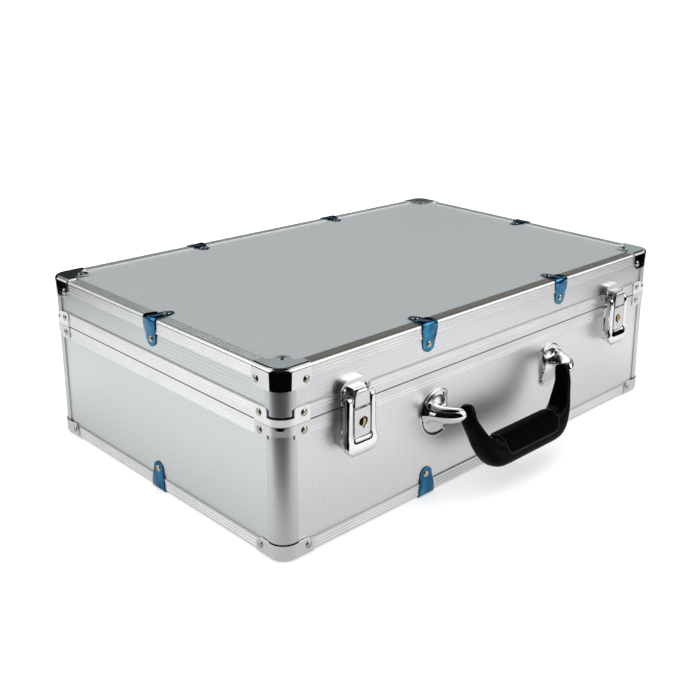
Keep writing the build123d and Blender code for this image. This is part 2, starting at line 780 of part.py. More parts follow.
def pad_section(recess, crown, clearance):
    """Strip round the top and the front of the bar, in its side view."""
    with BuildSketch() as strip:
        with Locations((0, -bar_middle)):
            RectangleRounded(grip_depth + 2 * crown, grip_low - grip_high + 2 * crown, grip_section_round + crown)
            inner_height = grip_low - grip_high - 2 * recess
            RectangleRounded(grip_depth - 2 * recess, inner_height, grip_section_round - recess, mode=Mode.SUBTRACT)
        with BuildLine():
            Polyline(
                (-pad_back - clearance, 0),
                (grip_depth, 0),
                (grip_depth, -pad_low - clearance),
                (pad_slant - pad_back, -pad_low - clearance),
                (-pad_back - clearance, -pad_low + pad_slant),
                close=True,
            )
        make_face(mode=Mode.INTERSECT)
    return strip.sketch


with BuildPart() as grip:
    with BuildSketch(grip_front) as front_view:
        with BuildLine():
            Polyline(
                (-eye_inner, eye_radius),
                (-eye_outer, eye_radius),
                (-eye_outer, -grip_shoulder),
                (-grip_half_length, -grip_low),
                (grip_half_length, -grip_low),
                (eye_outer, -grip_shoulder),
                (eye_outer, eye_radius),
                (eye_inner, eye_radius),
                (eye_inner, -arm_drop),
                (grip_inner_half_length, -grip_high),
                (-grip_inner_half_length, -grip_high),
                (-eye_inner, -arm_drop),
                close=True,
            )
        make_face()
        fillet(front_view.vertices().group_by(Axis.Y)[3], grip_shoulder_round)
        fillet(front_view.vertices().group_by(Axis.Y)[2], arm_round)
        fillet(front_view.vertices().group_by(Axis.Y)[1], grip_inner_round)
        fillet(front_view.vertices().group_by(Axis.Y)[0], grip_outer_round)
    extrude(amount=grip_depth, both=True)
    with BuildSketch(grip_side) as side_view:
        with BuildLine():
            Polyline(
                (-eye_radius, 0),
                (-grip_depth / 2, -grip_high),
                (-grip_depth / 2, -grip_low),
                (grip_depth / 2, -grip_low),
                (grip_depth / 2, -grip_high),
                (eye_radius, 0),
                close=True,
            )
        make_face()
        fillet(side_view.vertices().group_by(Axis.Y)[0], grip_section_round)
        Circle(eye_radius)
    extrude(amount=grip_spacing, both=True, mode=Mode.INTERSECT)
    inner_edges = grip.edges().filter_by(Axis.X).sort_by(Axis(grip_pivot, grip_front.y_dir))[-2:]
    fillet(inner_edges, grip_section_round)
    add(rod(grip_side, (0, 0), grip_pin_radius + pin_clearance, grip_spacing), mode=Mode.SUBTRACT)
    with BuildSketch(grip_side):
        add(pad_section(pad_recess, pad_crown + pad_clearance, pad_clearance))
    extrude(amount=pad_half_length + pad_clearance, both=True, mode=Mode.SUBTRACT)
finish(grip, "grip")

with BuildPart() as grip_pad:
    with BuildSketch(grip_side):
        add(pad_section(pad_recess, pad_crown, 0))
    extrude(amount=pad_half_length, both=True)
finish(grip_pad, "grip_pad")

# Hinges: leaves on both rims, three knuckles and a pin
hinge_pivot = (hinge_out, seam)
hinge_places = (-hinge_spacing / 2, hinge_spacing / 2)
outer_knuckle = (hinge_width - hinge_lid_knuckle) / 2 - hinge_gap


def hinge_profile(across):
    """Plane through a hinge: x outwards behind the case, y up."""
    return Plane(origin=(across, case_width / 2, 0), x_dir=(0, 1, 0), z_dir=(1, 0, 0))


def knuckle(across, length, up):
    """One rolled knuckle with the strip that joins it to its leaf."""
    with BuildPart() as roll:
        with BuildSketch(hinge_profile(across)):
            with Locations(hinge_pivot):
                Circle(hinge_radius)
            with Locations((0, seam)):
                Rectangle(hinge_leaf, hinge_leaf_height, align=(Align.MIN, Align.MIN if up else Align.MAX))
            with Locations(hinge_pivot):
                Circle(hinge_pin_radius + (pin_clearance if up else 0), mode=Mode.SUBTRACT)
        extrude(amount=length / 2, both=True)
    return roll.part


with BuildPart() as hinge_base_leaves:
    for across in hinge_places:
        for hand in (-1, 1):
            add(knuckle(across + hand * (hinge_width - outer_knuckle) / 2, outer_knuckle, False))
        with BuildSketch(hinge_profile(across)):
            with Locations((0, seam - hinge_radius - hinge_gap)):
                height = hinge_leaf_height - hinge_radius - hinge_gap
                Rectangle(hinge_leaf, height, align=(Align.MIN, Align.MAX))
        extrude(amount=hinge_width / 2, both=True)
finish(hinge_base_leaves, "hinge_base_leaves")

with BuildPart() as hinge_lid_leaves:
    for across in hinge_places:
        add(knuckle(across, hinge_lid_knuckle, True))
        with BuildSketch(hinge_profile(across)):
            with Locations((0, seam + hinge_radius + hinge_gap)):
                height = hinge_leaf_height - hinge_radius - hinge_gap
                Rectangle(hinge_leaf, height, align=(Align.MIN, Align.MIN))
        extrude(amount=hinge_width / 2, both=True)
finish(hinge_lid_leaves, "hinge_lid_leaves")

with BuildPart() as hinge_pins:
    for across in hinge_places:
        with BuildSketch(hinge_profile(across)):
            with Locations(hinge_pivot):
                Circle(hinge_pin_radius)
        extrude(amount=hinge_width / 2, both=True)
finish(hinge_pins, "hinge_pins")

# Rivet head, and the seats of all the rivets
with BuildPart() as rivet_form:
    with BuildSketch():
        Circle(rivet_radius)
    extrude(amount=rivet_height)


def cap_rivets(level, up, inset, drop, with_plate):
    """Seats on both bands of each corner cap, and on its plate."""
    seats = []
    for corner in corner_planes(level, up):
        first = corner.from_local_coords((inset, -cap_sheet, -drop))
        second = corner.from_local_coords((-cap_sheet, inset, -drop))
        seats.append(Plane(origin=first, z_dir=corner.y_dir * -1))
        seats.append(Plane(origin=second, z_dir=corner.x_dir * -1))
        if with_plate:
            middle = corner.from_local_coords((cap_lobe_inset, cap_lobe_inset, cap_sheet))
            seats.append(Plane(origin=middle, z_dir=corner.z_dir))
    return seats


def clip_rivets(level, up):
    """Seats near the end of the side leg of each clip."""
    seats = []
    for edge in clip_planes(level, up):
        low = edge.from_local_coords((0, panel_face - clip_sheet, clip_rivet_margin - clip_drop))
        seats.append(Plane(origin=low, z_dir=edge.y_dir * -1))
    return seats


def clip_flat_rivets(level, up):
    """Seats near the end of the flat leg of each clip."""
    seats = []
    for edge in clip_planes(level, up):
        flat = edge.from_local_coords((0, clip_reach - clip_rivet_margin, clip_sheet - panel_face))
        seats.append(Plane(origin=flat, z_dir=edge.z_dir))
    return seats


lid_seats = cap_rivets(lid_top, 1, cap_rivet_inset, top_cap_rivet_drop, True)
lid_seats += cap_rivets(lid_bottom, -1, rim_cap_rivet_inset, lid_rim_cap_rivet_rise, False)
lid_seats += clip_rivets(lid_top, 1)
lid_seats += clip_flat_rivets(lid_top, 1)
base_seats = cap_rivets(base_bottom, -1, cap_rivet_inset, bottom_cap_rivet_drop, False)
base_seats += cap_rivets(base_top, 1, rim_cap_rivet_inset, base_rim_cap_rivet_rise, False)
base_seats += clip_rivets(base_bottom, -1)
for name, across in latch_places:
    for hand in (-1, 1):
        place = (across + hand * catch_rivet_offset, -case_width / 2 - latch_face, lid_bottom + catch_rivet_rise)
        lid_seats.append(Plane(origin=place, z_dir=(0, -1, 0)))
for hand in (-1, 1):
    for turn in bracket_rivet_turns:
        over = -hand * bracket_rivet_radius * cos(radians(turn))
        rise = bracket_rivet_radius * sin(radians(turn))
        place = (hand * grip_spacing / 2 + over, panel_face - case_width / 2 - bracket_sheet, bracket_height + rise)
        base_seats.append(Plane(origin=place, z_dir=(0, -1, 0)))
for across in hinge_places:
    for hand in (-1, 1):
        over = across + hand * hinge_rivet_spacing / 2
        rise = (hinge_leaf_height + hinge_radius + hinge_gap) / 2
        lid_seats.append(Plane(origin=(over, case_width / 2 + hinge_leaf, seam + rise), z_dir=(0, 1, 0)))
        base_seats.append(Plane(origin=(over, case_width / 2 + hinge_leaf, seam - rise), z_dir=(0, 1, 0)))

with BuildPart() as lid_rivets:
    with Locations(*lid_seats):
        add(rivet_form.part)
finish(lid_rivets, "lid_rivets")

# Under the case the clip rivets are set low, so that it stands on its caps
with BuildPart() as base_rivets:
    with Locations(*base_seats):
        add(rivet_form.part)
    with BuildSketch(*clip_flat_rivets(base_bottom, -1)):
        Circle(rivet_radius)
    extrude(amount=low_rivet_height)
finish(base_rivets, "base_rivets")

# The origin is the middle of the footprint, grip and hinges included
footprint = Compound(children=[piece.moved(Location()) for piece in pieces]).bounding_box()
shift = Vector(-footprint.center().X, -footprint.center().Y, -footprint.min.Z)
print("moved by", round(shift.X, 4), round(shift.Y, 4), round(shift.Z, 4))
for piece in pieces:
    placed = piece.moved(Location(shift))
    placed.label = piece.label
    export_step(placed, "parts/" + piece.label + ".step")
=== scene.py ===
# %% [markdown]
# # Aluminium case
# The case lies shut on a white table. Its solids come ready packed: every piece is already in the frame,
# at its real size and place, in metres. This notebook gives each piece its finish, and it makes the parts
# anew that need a finer form than the solids have, such as rivet heads, the moulded grip and the felt
# lining.

# %% Load the frame
import math
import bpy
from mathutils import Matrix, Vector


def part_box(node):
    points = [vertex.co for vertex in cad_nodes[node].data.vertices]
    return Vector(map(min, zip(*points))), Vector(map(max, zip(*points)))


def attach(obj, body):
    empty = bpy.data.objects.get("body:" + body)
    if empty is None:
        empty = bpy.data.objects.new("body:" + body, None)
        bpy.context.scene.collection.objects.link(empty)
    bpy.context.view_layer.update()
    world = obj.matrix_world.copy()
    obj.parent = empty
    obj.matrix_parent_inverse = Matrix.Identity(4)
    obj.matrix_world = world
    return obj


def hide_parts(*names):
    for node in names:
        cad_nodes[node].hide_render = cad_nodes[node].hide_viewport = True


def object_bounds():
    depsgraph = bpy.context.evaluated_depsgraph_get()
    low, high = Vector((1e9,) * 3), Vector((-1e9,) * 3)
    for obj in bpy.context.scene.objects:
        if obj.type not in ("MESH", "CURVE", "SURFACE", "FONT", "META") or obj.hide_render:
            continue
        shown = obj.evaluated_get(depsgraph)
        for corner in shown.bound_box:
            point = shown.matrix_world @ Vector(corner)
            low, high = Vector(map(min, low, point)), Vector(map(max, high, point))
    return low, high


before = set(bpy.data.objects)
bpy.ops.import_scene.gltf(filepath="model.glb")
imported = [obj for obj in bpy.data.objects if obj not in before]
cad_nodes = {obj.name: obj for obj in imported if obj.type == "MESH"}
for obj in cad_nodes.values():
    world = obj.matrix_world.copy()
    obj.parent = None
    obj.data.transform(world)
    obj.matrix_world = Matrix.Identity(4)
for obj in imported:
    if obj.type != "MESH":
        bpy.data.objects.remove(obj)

from fnmatch import fnmatch
from types import SimpleNamespace

import bmesh
import bpy
from mathutils import Matrix, Vector

MM = 0.001
cad_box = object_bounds()
scene = bpy.context.scene
print("nodes:", len(cad_nodes), "case box in mm:", [[round(v / MM, 1) for v in corner] for corner in cad_box])

# %% [markdown]
# ## Camera
# The photograph looks down on the corner between the front and the left side. A camera could be placed by
# eye, but its place, turn and focal length were worked out from the straight edges of the case instead,
# so the picture and the render can be laid over each other. The case isn't in the middle of the picture,
# so the lens is shifted.

# %% Camera
YAW, PITCH, ROLL = math.radians(46.48), math.radians(16.53), math.radians(1.07)
CAMERA_PLACE = (-0.6176, -0.62856, 0.4015)
PICTURE = 700
FOCAL_PIXELS = 1014.8
OPTICAL_CENTRE = (417, 271)
SENSOR = 36

forward = Vector((math.sin(YAW) * math.cos(PITCH), math.cos(YAW) * math.cos(PITCH), -math.sin(PITCH)))
level_right = Vector((math.cos(YAW), -math.sin(YAW), 0))
level_up = level_right.cross(forward)
camera_right = math.cos(ROLL) * level_right + math.sin(ROLL) * level_up
camera_up = -math.sin(ROLL) * level_right + math.cos(ROLL) * level_up
camera_turn = Matrix((camera_right, camera_up, -forward)).transposed().to_4x4()

camera = bpy.data.objects.new("camera", bpy.data.cameras.new("camera"))
scene.collection.objects.link(camera)
camera.matrix_world = Matrix.Translation(CAMERA_PLACE) @ camera_turn
lens = camera.data
lens.sensor_width = SENSOR
lens.lens = SENSOR * FOCAL_PIXELS / PICTURE
lens.shift_x = (PICTURE / 2 - OPTICAL_CENTRE[0]) / PICTURE
lens.shift_y = (OPTICAL_CENTRE[1] - PICTURE / 2) / PICTURE
lens.clip_start = 0.01
scene.camera = camera
print("focal length:", round(lens.lens, 2), "mm, shift:", round(lens.shift_x, 4), round(lens.shift_y, 4))

# %% [markdown]
# ## Helpers for node trees
# Finishes and light are node trees. Written out, each node takes several lines, so these helpers add a
# node, set what it needs and hand back its output, and the finishes below read like short recipes.

# %% Helpers for node trees
def put(tree, kind, inputs=None, **settings):
    """Adds a node, sets its options, and links or sets its inputs by name or number."""
    node = tree.nodes.new(kind)
    for name, value in settings.items():
        setattr(node, name, value)
    for name, value in (inputs or {}).items():
        if isinstance(value, bpy.types.NodeSocket):
            tree.links.new(value, node.inputs[name])
        else:
            node.inputs[name].default_value = value
    return node


def maths(tree, operation, first, second=0.0):
    """One Math node; returns its output."""
    return put(tree, "ShaderNodeMath", {0: first, 1: second}, operation=operation).outputs[0]


def mapped(tree, value, first, last, to_first=0.0, to_last=1.0, smooth=False):
    """Carries a value from one range to another and holds it at both ends. A smooth one eases in and out."""
    ends = {"Value": value, "From Min": first, "From Max": last, "To Min": to_first, "To Max": to_last}
    kind = "SMOOTHSTEP" if smooth else "LINEAR"
    return put(tree, "ShaderNodeMapRange", ends, interpolation_type=kind).outputs[0]


def ramp(tree, value, *stops):
    """A colour ramp with (place, colour) stops; returns its colour."""
    node = put(tree, "ShaderNodeValToRGB", {0: value})
    points = node.color_ramp.elements
    while len(points) < len(stops):
        points.new(0.5)
    for point, (place, colour) in zip(points, stops):
        point.position = place
        point.color = (*colour, 1)
    return node.outputs[0]


def blend_colours(tree, factor, first, second):
    """Goes from the first colour to the second; each colour is an output or three numbers."""
    ends = [value if isinstance(value, bpy.types.NodeSocket) else (*value, 1) for value in (first, second)]
    inputs = {"Factor": factor, "A": ends[0], "B": ends[1]}
    return put(tree, "ShaderNodeMix", inputs, data_type="RGBA").outputs["Result"]


def object_place(tree):
    """The place on the object, in metres."""
    return put(tree, "ShaderNodeTexCoord").outputs["Object"]


def object_axes(tree):
    """The same place as three outputs, by number or by name."""
    return put(tree, "ShaderNodeSeparateXYZ", {0: object_place(tree)}).outputs


def noise(tree, place, scale, detail):
    """One noise texture; returns its grey value."""
    return put(tree, "ShaderNodeTexNoise", {"Vector": place, "Scale": scale, "Detail": detail}).outputs["Fac"]


def blank_material(name, constants):
    """A material with constants set on its shader; returns it with its node tree and the shader."""
    material = bpy.data.materials.new(name)
    material.use_nodes = True
    shader = material.node_tree.nodes["Principled BSDF"]
    for socket, value in constants.items():
        shader.inputs[socket].default_value = value
    return material, material.node_tree, shader


def emboss(tree, shader, height, depth):
    """Bumps the surface by a height that goes from 0 to 1, over a depth in metres."""
    bump = put(tree, "ShaderNodeBump", {"Height": height, "Distance": depth, "Strength": 1.0})
    tree.links.new(bump.outputs[0], shader.inputs["Normal"])


print("node helpers ready")

# %% [markdown]
# ## Room
# Polished metal shows the room more than itself. A picture of a real studio could light it, but here the
# room is worked out, so that each reflection has a reason. Its light is plain white. For reflections it
# has what stands round a photographer's table: a dark side behind the camera, a dark back wall with one
# paler strip, a dark patch on the right, and darkness overhead. Each dark field is a soft step along a
# compass angle or in height.

# %% Fields of the room
world = bpy.data.worlds.new("studio")
scene.world = world
world.use_nodes = True
room = world.node_tree
direction = put(room, "ShaderNodeTexCoord").outputs["Generated"]
height = put(room, "ShaderNodeSeparateXYZ", {0: direction}).outputs["Z"]


def along(azimuth):
    """How far the looked-at direction points along a compass angle, from -1 to 1."""
    turned = (math.cos(math.radians(azimuth)), math.sin(math.radians(azimuth)), 0)
    inputs = {0: direction, 1: turned}
    return put(room, "ShaderNodeVectorMath", inputs, operation="DOT_PRODUCT").outputs["Value"]


def toward(azimuth, edge):
    """1 inside the field round a compass angle, with a soft edge."""
    return mapped(room, along(azimuth), *edge, smooth=True)


def past_height(edge):
    """1 past a height: above it where the edge is written upward, and below it where downward."""
    return mapped(room, height, *edge, smooth=True)


# Each field has a compass angle and a soft edge, and some have a soft start or end in height
CAMERA_SIDE, CAMERA_EDGE = 218, (0.28, 0.40)
BACK_SIDE, BACK_EDGE = 62, (0.58, 0.66)
HIGH_SIDE, HIGH_EDGE, HIGH_START = 45, (0.48, 0.54), (0.44, 0.50)
RIGHT_SIDE, RIGHT_EDGE, RIGHT_END = -6, (0.74, 0.82), (0.40, 0.28)
CEILING, ZENITH, HORIZON = (0.90, 0.82), (0.84, 0.88), (0.0, -0.03)

below_ceiling = past_height(CEILING)
high_back = maths(room, "MULTIPLY", toward(HIGH_SIDE, HIGH_EDGE), past_height(HIGH_START))
whole_back = maths(room, "MAXIMUM", toward(BACK_SIDE, BACK_EDGE), high_back)
back_field = maths(room, "MULTIPLY", whole_back, below_ceiling)
camera_field = maths(room, "MULTIPLY", toward(CAMERA_SIDE, CAMERA_EDGE), below_ceiling)
right_field = maths(room, "MULTIPLY", toward(RIGHT_SIDE, RIGHT_EDGE), past_height(RIGHT_END))
print("room fields at compass angles", CAMERA_SIDE, BACK_SIDE, HIGH_SIDE, RIGHT_SIDE)

# %% Colours of the room
WHITE, BLACK = (1.0, 1.0, 1.0), (0.002, 0.002, 0.002)
STRIP_FOOT, STRIP_GREY = (0.05, 0.055, 0.06), (0.43, 0.475, 0.495)
STRIP_SIDE, STRIP_TILT = -46.5, 0.35
PLAIN_LIGHT = (1.12, 1.12, 1.12)
ROOM_STRENGTH = 0.9

tilted_height = maths(room, "ADD", height, maths(room, "MULTIPLY", along(STRIP_SIDE), STRIP_TILT))
strip_stops = [(0.10, BLACK), (0.20, STRIP_FOOT), (0.32, STRIP_GREY), (0.39, STRIP_GREY), (0.45, BLACK)]
back_wall = ramp(room, tilted_height, *strip_stops)
seen = blend_colours(room, right_field, WHITE, BLACK)
seen = blend_colours(room, back_field, seen, back_wall)
for dark_field in (camera_field, past_height(ZENITH), past_height(HORIZON)):
    seen = blend_colours(room, dark_field, seen, BLACK)
glossy = put(room, "ShaderNodeLightPath").outputs["Is Glossy Ray"]
background = room.nodes["Background"]
room.links.new(blend_colours(room, glossy, PLAIN_LIGHT, seen), background.inputs["Color"])
background.inputs["Strength"].default_value = ROOM_STRENGTH
print("room nodes:", len(room.nodes))

# %% [markdown]
# ## White sheet
# The case stands on a white sheet, which is what the lower chrome mirrors. The floor itself could do
# that, but it has no end, and in the photograph chrome that looks down past the sheet turns black. So the
# metal sees a glowing sheet of limited size, which nothing else sees. It is dimmer beside the case, where
# the case shades it.

# %% White sheet
SHEET_FRONT, SHEET_BACK, SHEET_LEFT, SHEET_RIGHT = 0.35, -0.60, -0.67, 0.66
SHEET_WHITE = (0.93, 0.94, 0.95, 1)
SHADED, UNSHADED, SHADE_REACH = 0.55, 0.88, 0.12

toward_camera = Vector((-math.sin(YAW), -math.cos(YAW), 0.0))
sheet_edges = [
    (SHEET_FRONT, SHEET_LEFT), (SHEET_FRONT, SHEET_RIGHT),
    (SHEET_BACK, SHEET_RIGHT), (SHEET_BACK, SHEET_LEFT),
]
sheet_corners = [toward_camera * near + level_right * side for near, side in sheet_edges]
sheet_mesh = bpy.data.meshes.new("white_sheet")
sheet_mesh.from_pydata([tuple(corner) for corner in sheet_corners], [], [(0, 1, 2, 3)])
white_sheet = bpy.data.objects.new("white_sheet", sheet_mesh)
scene.collection.objects.link(white_sheet)
white_sheet.visible_camera = False
white_sheet.visible_diffuse = False
white_sheet.visible_shadow = False

glow_paint = {"Base Color": (0, 0, 0, 1), "Emission Color": SHEET_WHITE}
sheet_glow, tree, shader = blank_material("sheet_glow", glow_paint)
place = object_axes(tree)
gaps = []
for axis in (0, 1):
    gaps.append(maths(tree, "SUBTRACT", maths(tree, "ABSOLUTE", place[axis]), cad_box[1][axis]))
from_case = maths(tree, "MAXIMUM", *gaps)
glow = mapped(tree, from_case, 0, SHADE_REACH, SHADED, UNSHADED, smooth=True)
tree.links.new(glow, shader.inputs["Emission Strength"])
sheet_mesh.materials.append(sheet_glow)
print("white sheet corners:", [[round(v, 2) for v in corner] for corner in sheet_corners])

# %% [markdown]
# ## Soft boxes
# A photographer lights metal with soft boxes, which are large lamps behind white cloth. The room alone
# would light the case evenly and leave it flat, so three area lamps shape it a little. An area lamp was
# chosen over a point because its edge of shadow is soft. The one overhead would mirror in the top, so the
# metal doesn't see it.

# %% Soft boxes
def soft_box(name, place, target, size, power):
    """A rectangular lamp at a place, turned to a target."""
    lamp = bpy.data.objects.new(name, bpy.data.lights.new(name, "AREA"))
    lamp.data.shape = "RECTANGLE"
    lamp.data.size, lamp.data.size_y = size
    lamp.data.energy = power
    lamp.location = place
    lamp.rotation_euler = (Vector(target) - Vector(place)).to_track_quat("-Z", "Y").to_euler()
    scene.collection.objects.link(lamp)
    print(name, "power", power)
    return lamp


ceiling_box = soft_box("ceiling_box", (0.1, 0.2, 1.9), (0, 0, 0), (2.2, 1.6), 8)
ceiling_box.visible_glossy = False
soft_box("front_box", (1.3, -1.5, 0.9), (0.1, -0.1, 0.05), (1.4, 1.2), 8)
soft_box("side_box", (-1.7, 0.9, 0.9), (-0.2, 0, 0.05), (1.2, 1.2), 5)

# %% [markdown]
# ## Floor
# The case rests on a table that fills the picture. A curved sweep of paper would do, but one large plane
# is simpler and the camera never sees its end. It glows faintly, because the photograph's background is
# cut out pure white and a full shadow would stand out on it. Metal doesn't see this floor. It sees the
# white sheet instead.

# %% Floor
FLOOR_SIZE, FLOOR_DROP = 60, 0.0002
FLOOR_PAINT = {
    "Base Color": (0.95, 0.95, 0.955, 1), "Roughness": 0.9, "Specular IOR Level": 0.0,
    "Emission Color": (1, 1, 1, 1), "Emission Strength": 0.3,
}
bpy.ops.mesh.primitive_plane_add(size=FLOOR_SIZE, location=(0, 0, -FLOOR_DROP))
floor = bpy.context.object
floor.name = "floor"
floor.visible_glossy = False
floor.data.materials.append(blank_material("floor_paint", FLOOR_PAINT)[0])
scene.view_settings.view_transform = "Standard"
print("floor:", FLOOR_SIZE, "m wide")

# %% [markdown]
# ## Metal finishes
# The case is drawn aluminium, chromed and satin steel, blue zinc and a little brass. Each could have its
# own shader, but they differ only in colour, roughness and grain, so they share one recipe: a metallic
# shader, a roughness that a little noise varies, clouds of a second tone, and a bump for the grain. Drawn
# profiles have their grain along their length, so their noise is squeezed in the two other directions.

# %% Metal recipe
CLOUD_DARK, CLOUD_BRIGHT, DARKER_TONE = 0.3, 0.7, 0.93


def metal(name, colour, roughness, grain=(1, 1, 1), grain_scale=1.0, grain_depth=0.0, uneven=0.02, tint=None,
          patches=35.0, metallic=1.0):
    """A metal whose grain is noise on the object, stretched by three grain factors, and a depth in metres."""
    material, tree, shader = blank_material(name, {"Metallic": metallic})
    place = object_place(tree)
    stretched = put(tree, "ShaderNodeMapping", {"Vector": place, "Scale": grain}).outputs[0]
    scratches = noise(tree, stretched, grain_scale, 3.0)
    rough = mapped(tree, scratches, 0, 1, roughness - uneven, roughness + uneven)
    tree.links.new(rough, shader.inputs["Roughness"])
    second = tint or tuple(part * DARKER_TONE for part in colour)
    tone = ramp(tree, noise(tree, place, patches, 2.0), (CLOUD_DARK, second), (CLOUD_BRIGHT, colour))
    tree.links.new(tone, shader.inputs["Base Color"])
    if grain_depth:
        emboss(tree, shader, scratches, grain_depth)
    return material


# %% [markdown]
# ## Aluminium
# The profiles and posts are drawn aluminium with a satin surface. They could share one material, but the
# grain has to run along each piece, so there is one for each direction. The crosswise profiles are the same
# aluminium painted brighter than the lengthwise ones, as painted light. The front edge and the two kinds
# of post have their own, because each gets its own painted shade further on.

# %% Aluminium
ALUMINIUM, ALUMINIUM_BRIGHT, ALUMINIUM_DULL = (0.93, 0.935, 0.94), (0.98, 0.985, 0.98), (0.80, 0.805, 0.80)
ALONG_X, ALONG_Y, ALONG_Z = (3, 160, 160), (160, 3, 160), (160, 160, 3)

profile_x = metal("satin_profile_lengthwise", ALUMINIUM, 0.40, ALONG_X)
# Painted light: the crosswise profiles take a brighter copy of the aluminium.
profile_y = metal("satin_profile_crosswise", ALUMINIUM_BRIGHT, 0.30, ALONG_Y)
front_edge = metal("satin_front_edge", ALUMINIUM, 0.40, ALONG_X)
satin_post_lid = metal("satin_lid_post", ALUMINIUM_DULL, 0.42, ALONG_Z)
satin_post_base = metal("satin_base_post", ALUMINIUM_DULL, 0.42, ALONG_Z)
print("aluminium finishes done, materials so far:", len(bpy.data.materials))

# %% [markdown]
# ## Steel, zinc and brass
# The caps, latches and brackets are steel, some polished and chromed and some satin. Each could be mirror
# bright with a painted dullness, but roughness does that in one number: 0.06 is a mirror, and 0.30 is
# satin. The middle caps reflect less than full metal, so that they stay pale where the room is dark. The
# clips are zinc with a blue coat, whose clouds run from deep to light blue, and the lock cylinders are
# brass.

# %% Chrome and steel
CAP_GRAIN, TILE_GRAIN, PIN_GRAIN = (40, 40, 500), (900, 60, 60), (4, 900, 900)
CAP_DEPTH, CHROME_DEPTH, SATIN_DEPTH = 0.000002, 0.000004, 0.00001
CAP_STEEL = (0.74, 0.75, 0.74)

cap_chrome = metal("cap_chrome", (0.78, 0.79, 0.78), 0.06, grain_scale=300, grain_depth=CAP_DEPTH)
chrome = metal("chrome", (0.92, 0.92, 0.93), 0.07, grain_scale=300, grain_depth=CHROME_DEPTH)
bracket_satin = metal("bracket_satin_chrome", (0.86, 0.86, 0.86), 0.16, grain_scale=300)
brushed_steel = metal("brushed_cap_steel", (0.90, 0.90, 0.90), 0.26, CAP_GRAIN, uneven=0.03)
# The caps of lid and base are the same steel: the lid's copy has less metal and so stays paler, as painted
# light.
rim_steel_lid = metal("satin_lid_cap_steel", CAP_STEEL, 0.30, CAP_GRAIN, metallic=0.40)
rim_steel_base = metal("satin_base_cap_steel", CAP_STEEL, 0.30, CAP_GRAIN, metallic=0.75)
plate_steel = metal("catch_plate_steel", (0.76, 0.76, 0.76), 0.20, grain_scale=300, uneven=0.03)
# A near-black steel for faces that lie in shade: painted shade on clip sides, hook tile edges and lock body
# edges.
shadow_steel = metal("shadowed_steel_edge", (0.03, 0.03, 0.03), 0.35, grain_scale=300)
tile_steel = metal("satin_tile_steel", (0.80, 0.80, 0.80), 0.30, TILE_GRAIN,
                   grain_depth=SATIN_DEPTH, uneven=0.06)
pin_steel = metal("pin_steel", (0.62, 0.62, 0.62), 0.28, PIN_GRAIN,
                  grain_depth=SATIN_DEPTH, uneven=0.06)
rivet_steel = metal("rivet_steel", (0.62, 0.58, 0.51), 0.24,
                    grain_scale=500, grain_depth=SATIN_DEPTH, uneven=0.06)
hinge_steel = metal("hinge_zinc", (0.70, 0.71, 0.73), 0.24,
                    grain_scale=300, grain_depth=SATIN_DEPTH, uneven=0.06)
print("steel finishes done, materials so far:", len(bpy.data.materials))

# %% Zinc and brass
DEEP_BLUE, DARK_BRASS = (0.015, 0.10, 0.24), (0.45, 0.28, 0.08)

clip_zinc = metal("blue_zinc", (0.06, 0.27, 0.44), 0.12, grain_scale=200, grain_depth=CHROME_DEPTH,
                  uneven=0.03, tint=DEEP_BLUE, patches=130)
lock_brass = metal("lock_brass", (0.80, 0.55, 0.20), 0.25, grain_scale=400, grain_depth=SATIN_DEPTH,
                   uneven=0.05, tint=DARK_BRASS)
print("clouds of", clip_zinc.name, "are tinted", DEEP_BLUE)

# %% [markdown]
# ## Embossed sheet
# The side panels are aluminium sheet pressed with a net of small squares. Modelled, the net would take a
# hundred thousand faces, so it is a bump. Two triangle waves run in the two directions of the panel. Near
# a line the wave is low, so the product of the two is a field of flat little pillows with grooves between
# them. The top has the same net, so shallow that it looks plain.

# %% Embossed sheet
NET_PITCH = 0.0030
NET_GROOVE = 0.00045


def embossed(name, across, along, colour, shaded_groove_colour, roughness, metallic, depth):
    """Sheet metal with a net of squares in the two object directions that are named by number."""
    material, tree, shader = blank_material(name, {"Metallic": metallic})
    axes = object_axes(tree)
    waves = [maths(tree, "PINGPONG", axes[axis], NET_PITCH / 2) for axis in (across, along)]
    pillows = maths(tree, "MULTIPLY", *[mapped(tree, wave, 0, NET_GROOVE, smooth=True) for wave in waves])
    # The grooves take a darker colour than the pillows: painted shade in the grooves, besides the bump.
    tree.links.new(blend_colours(tree, pillows, shaded_groove_colour, colour), shader.inputs["Base Color"])
    rough = mapped(tree, noise(tree, object_place(tree), 9.0, 3.0), 0, 1, roughness - 0.05, roughness + 0.05)
    tree.links.new(rough, shader.inputs["Roughness"])
    emboss(tree, shader, pillows, depth)
    return material


# Front, rear and side panels are one sheet: the sides take a darker, greener copy of its colours, which is
# painted shade.
panel_front = embossed("embossed_front", 0, 2, (0.94, 0.94, 0.94), (0.84, 0.84, 0.85), 0.36, 1.0, 0.00004)
panel_side = embossed("embossed_side", 1, 2, (0.85, 0.88, 0.875), (0.755, 0.785, 0.78), 0.36, 1.0, 0.00005)
panel_flat = embossed("plain_top_sheet", 0, 1, (0.66, 0.70, 0.70), (0.62, 0.66, 0.66), 0.5, 0.55, 0.00002)
print("net of squares every", NET_PITCH / MM, "mm")

# %% [markdown]
# ## Grip plastic, pad and felt
# These are not metal. The grip is moulded black plastic with a soft shine, and the pad let into it is a
# duller rubber with more grain. The lining is dark felt, rough, with a sheen from its fibres. One recipe
# does for all three: a fine noise is the grain, and it varies the tone and the roughness as well.

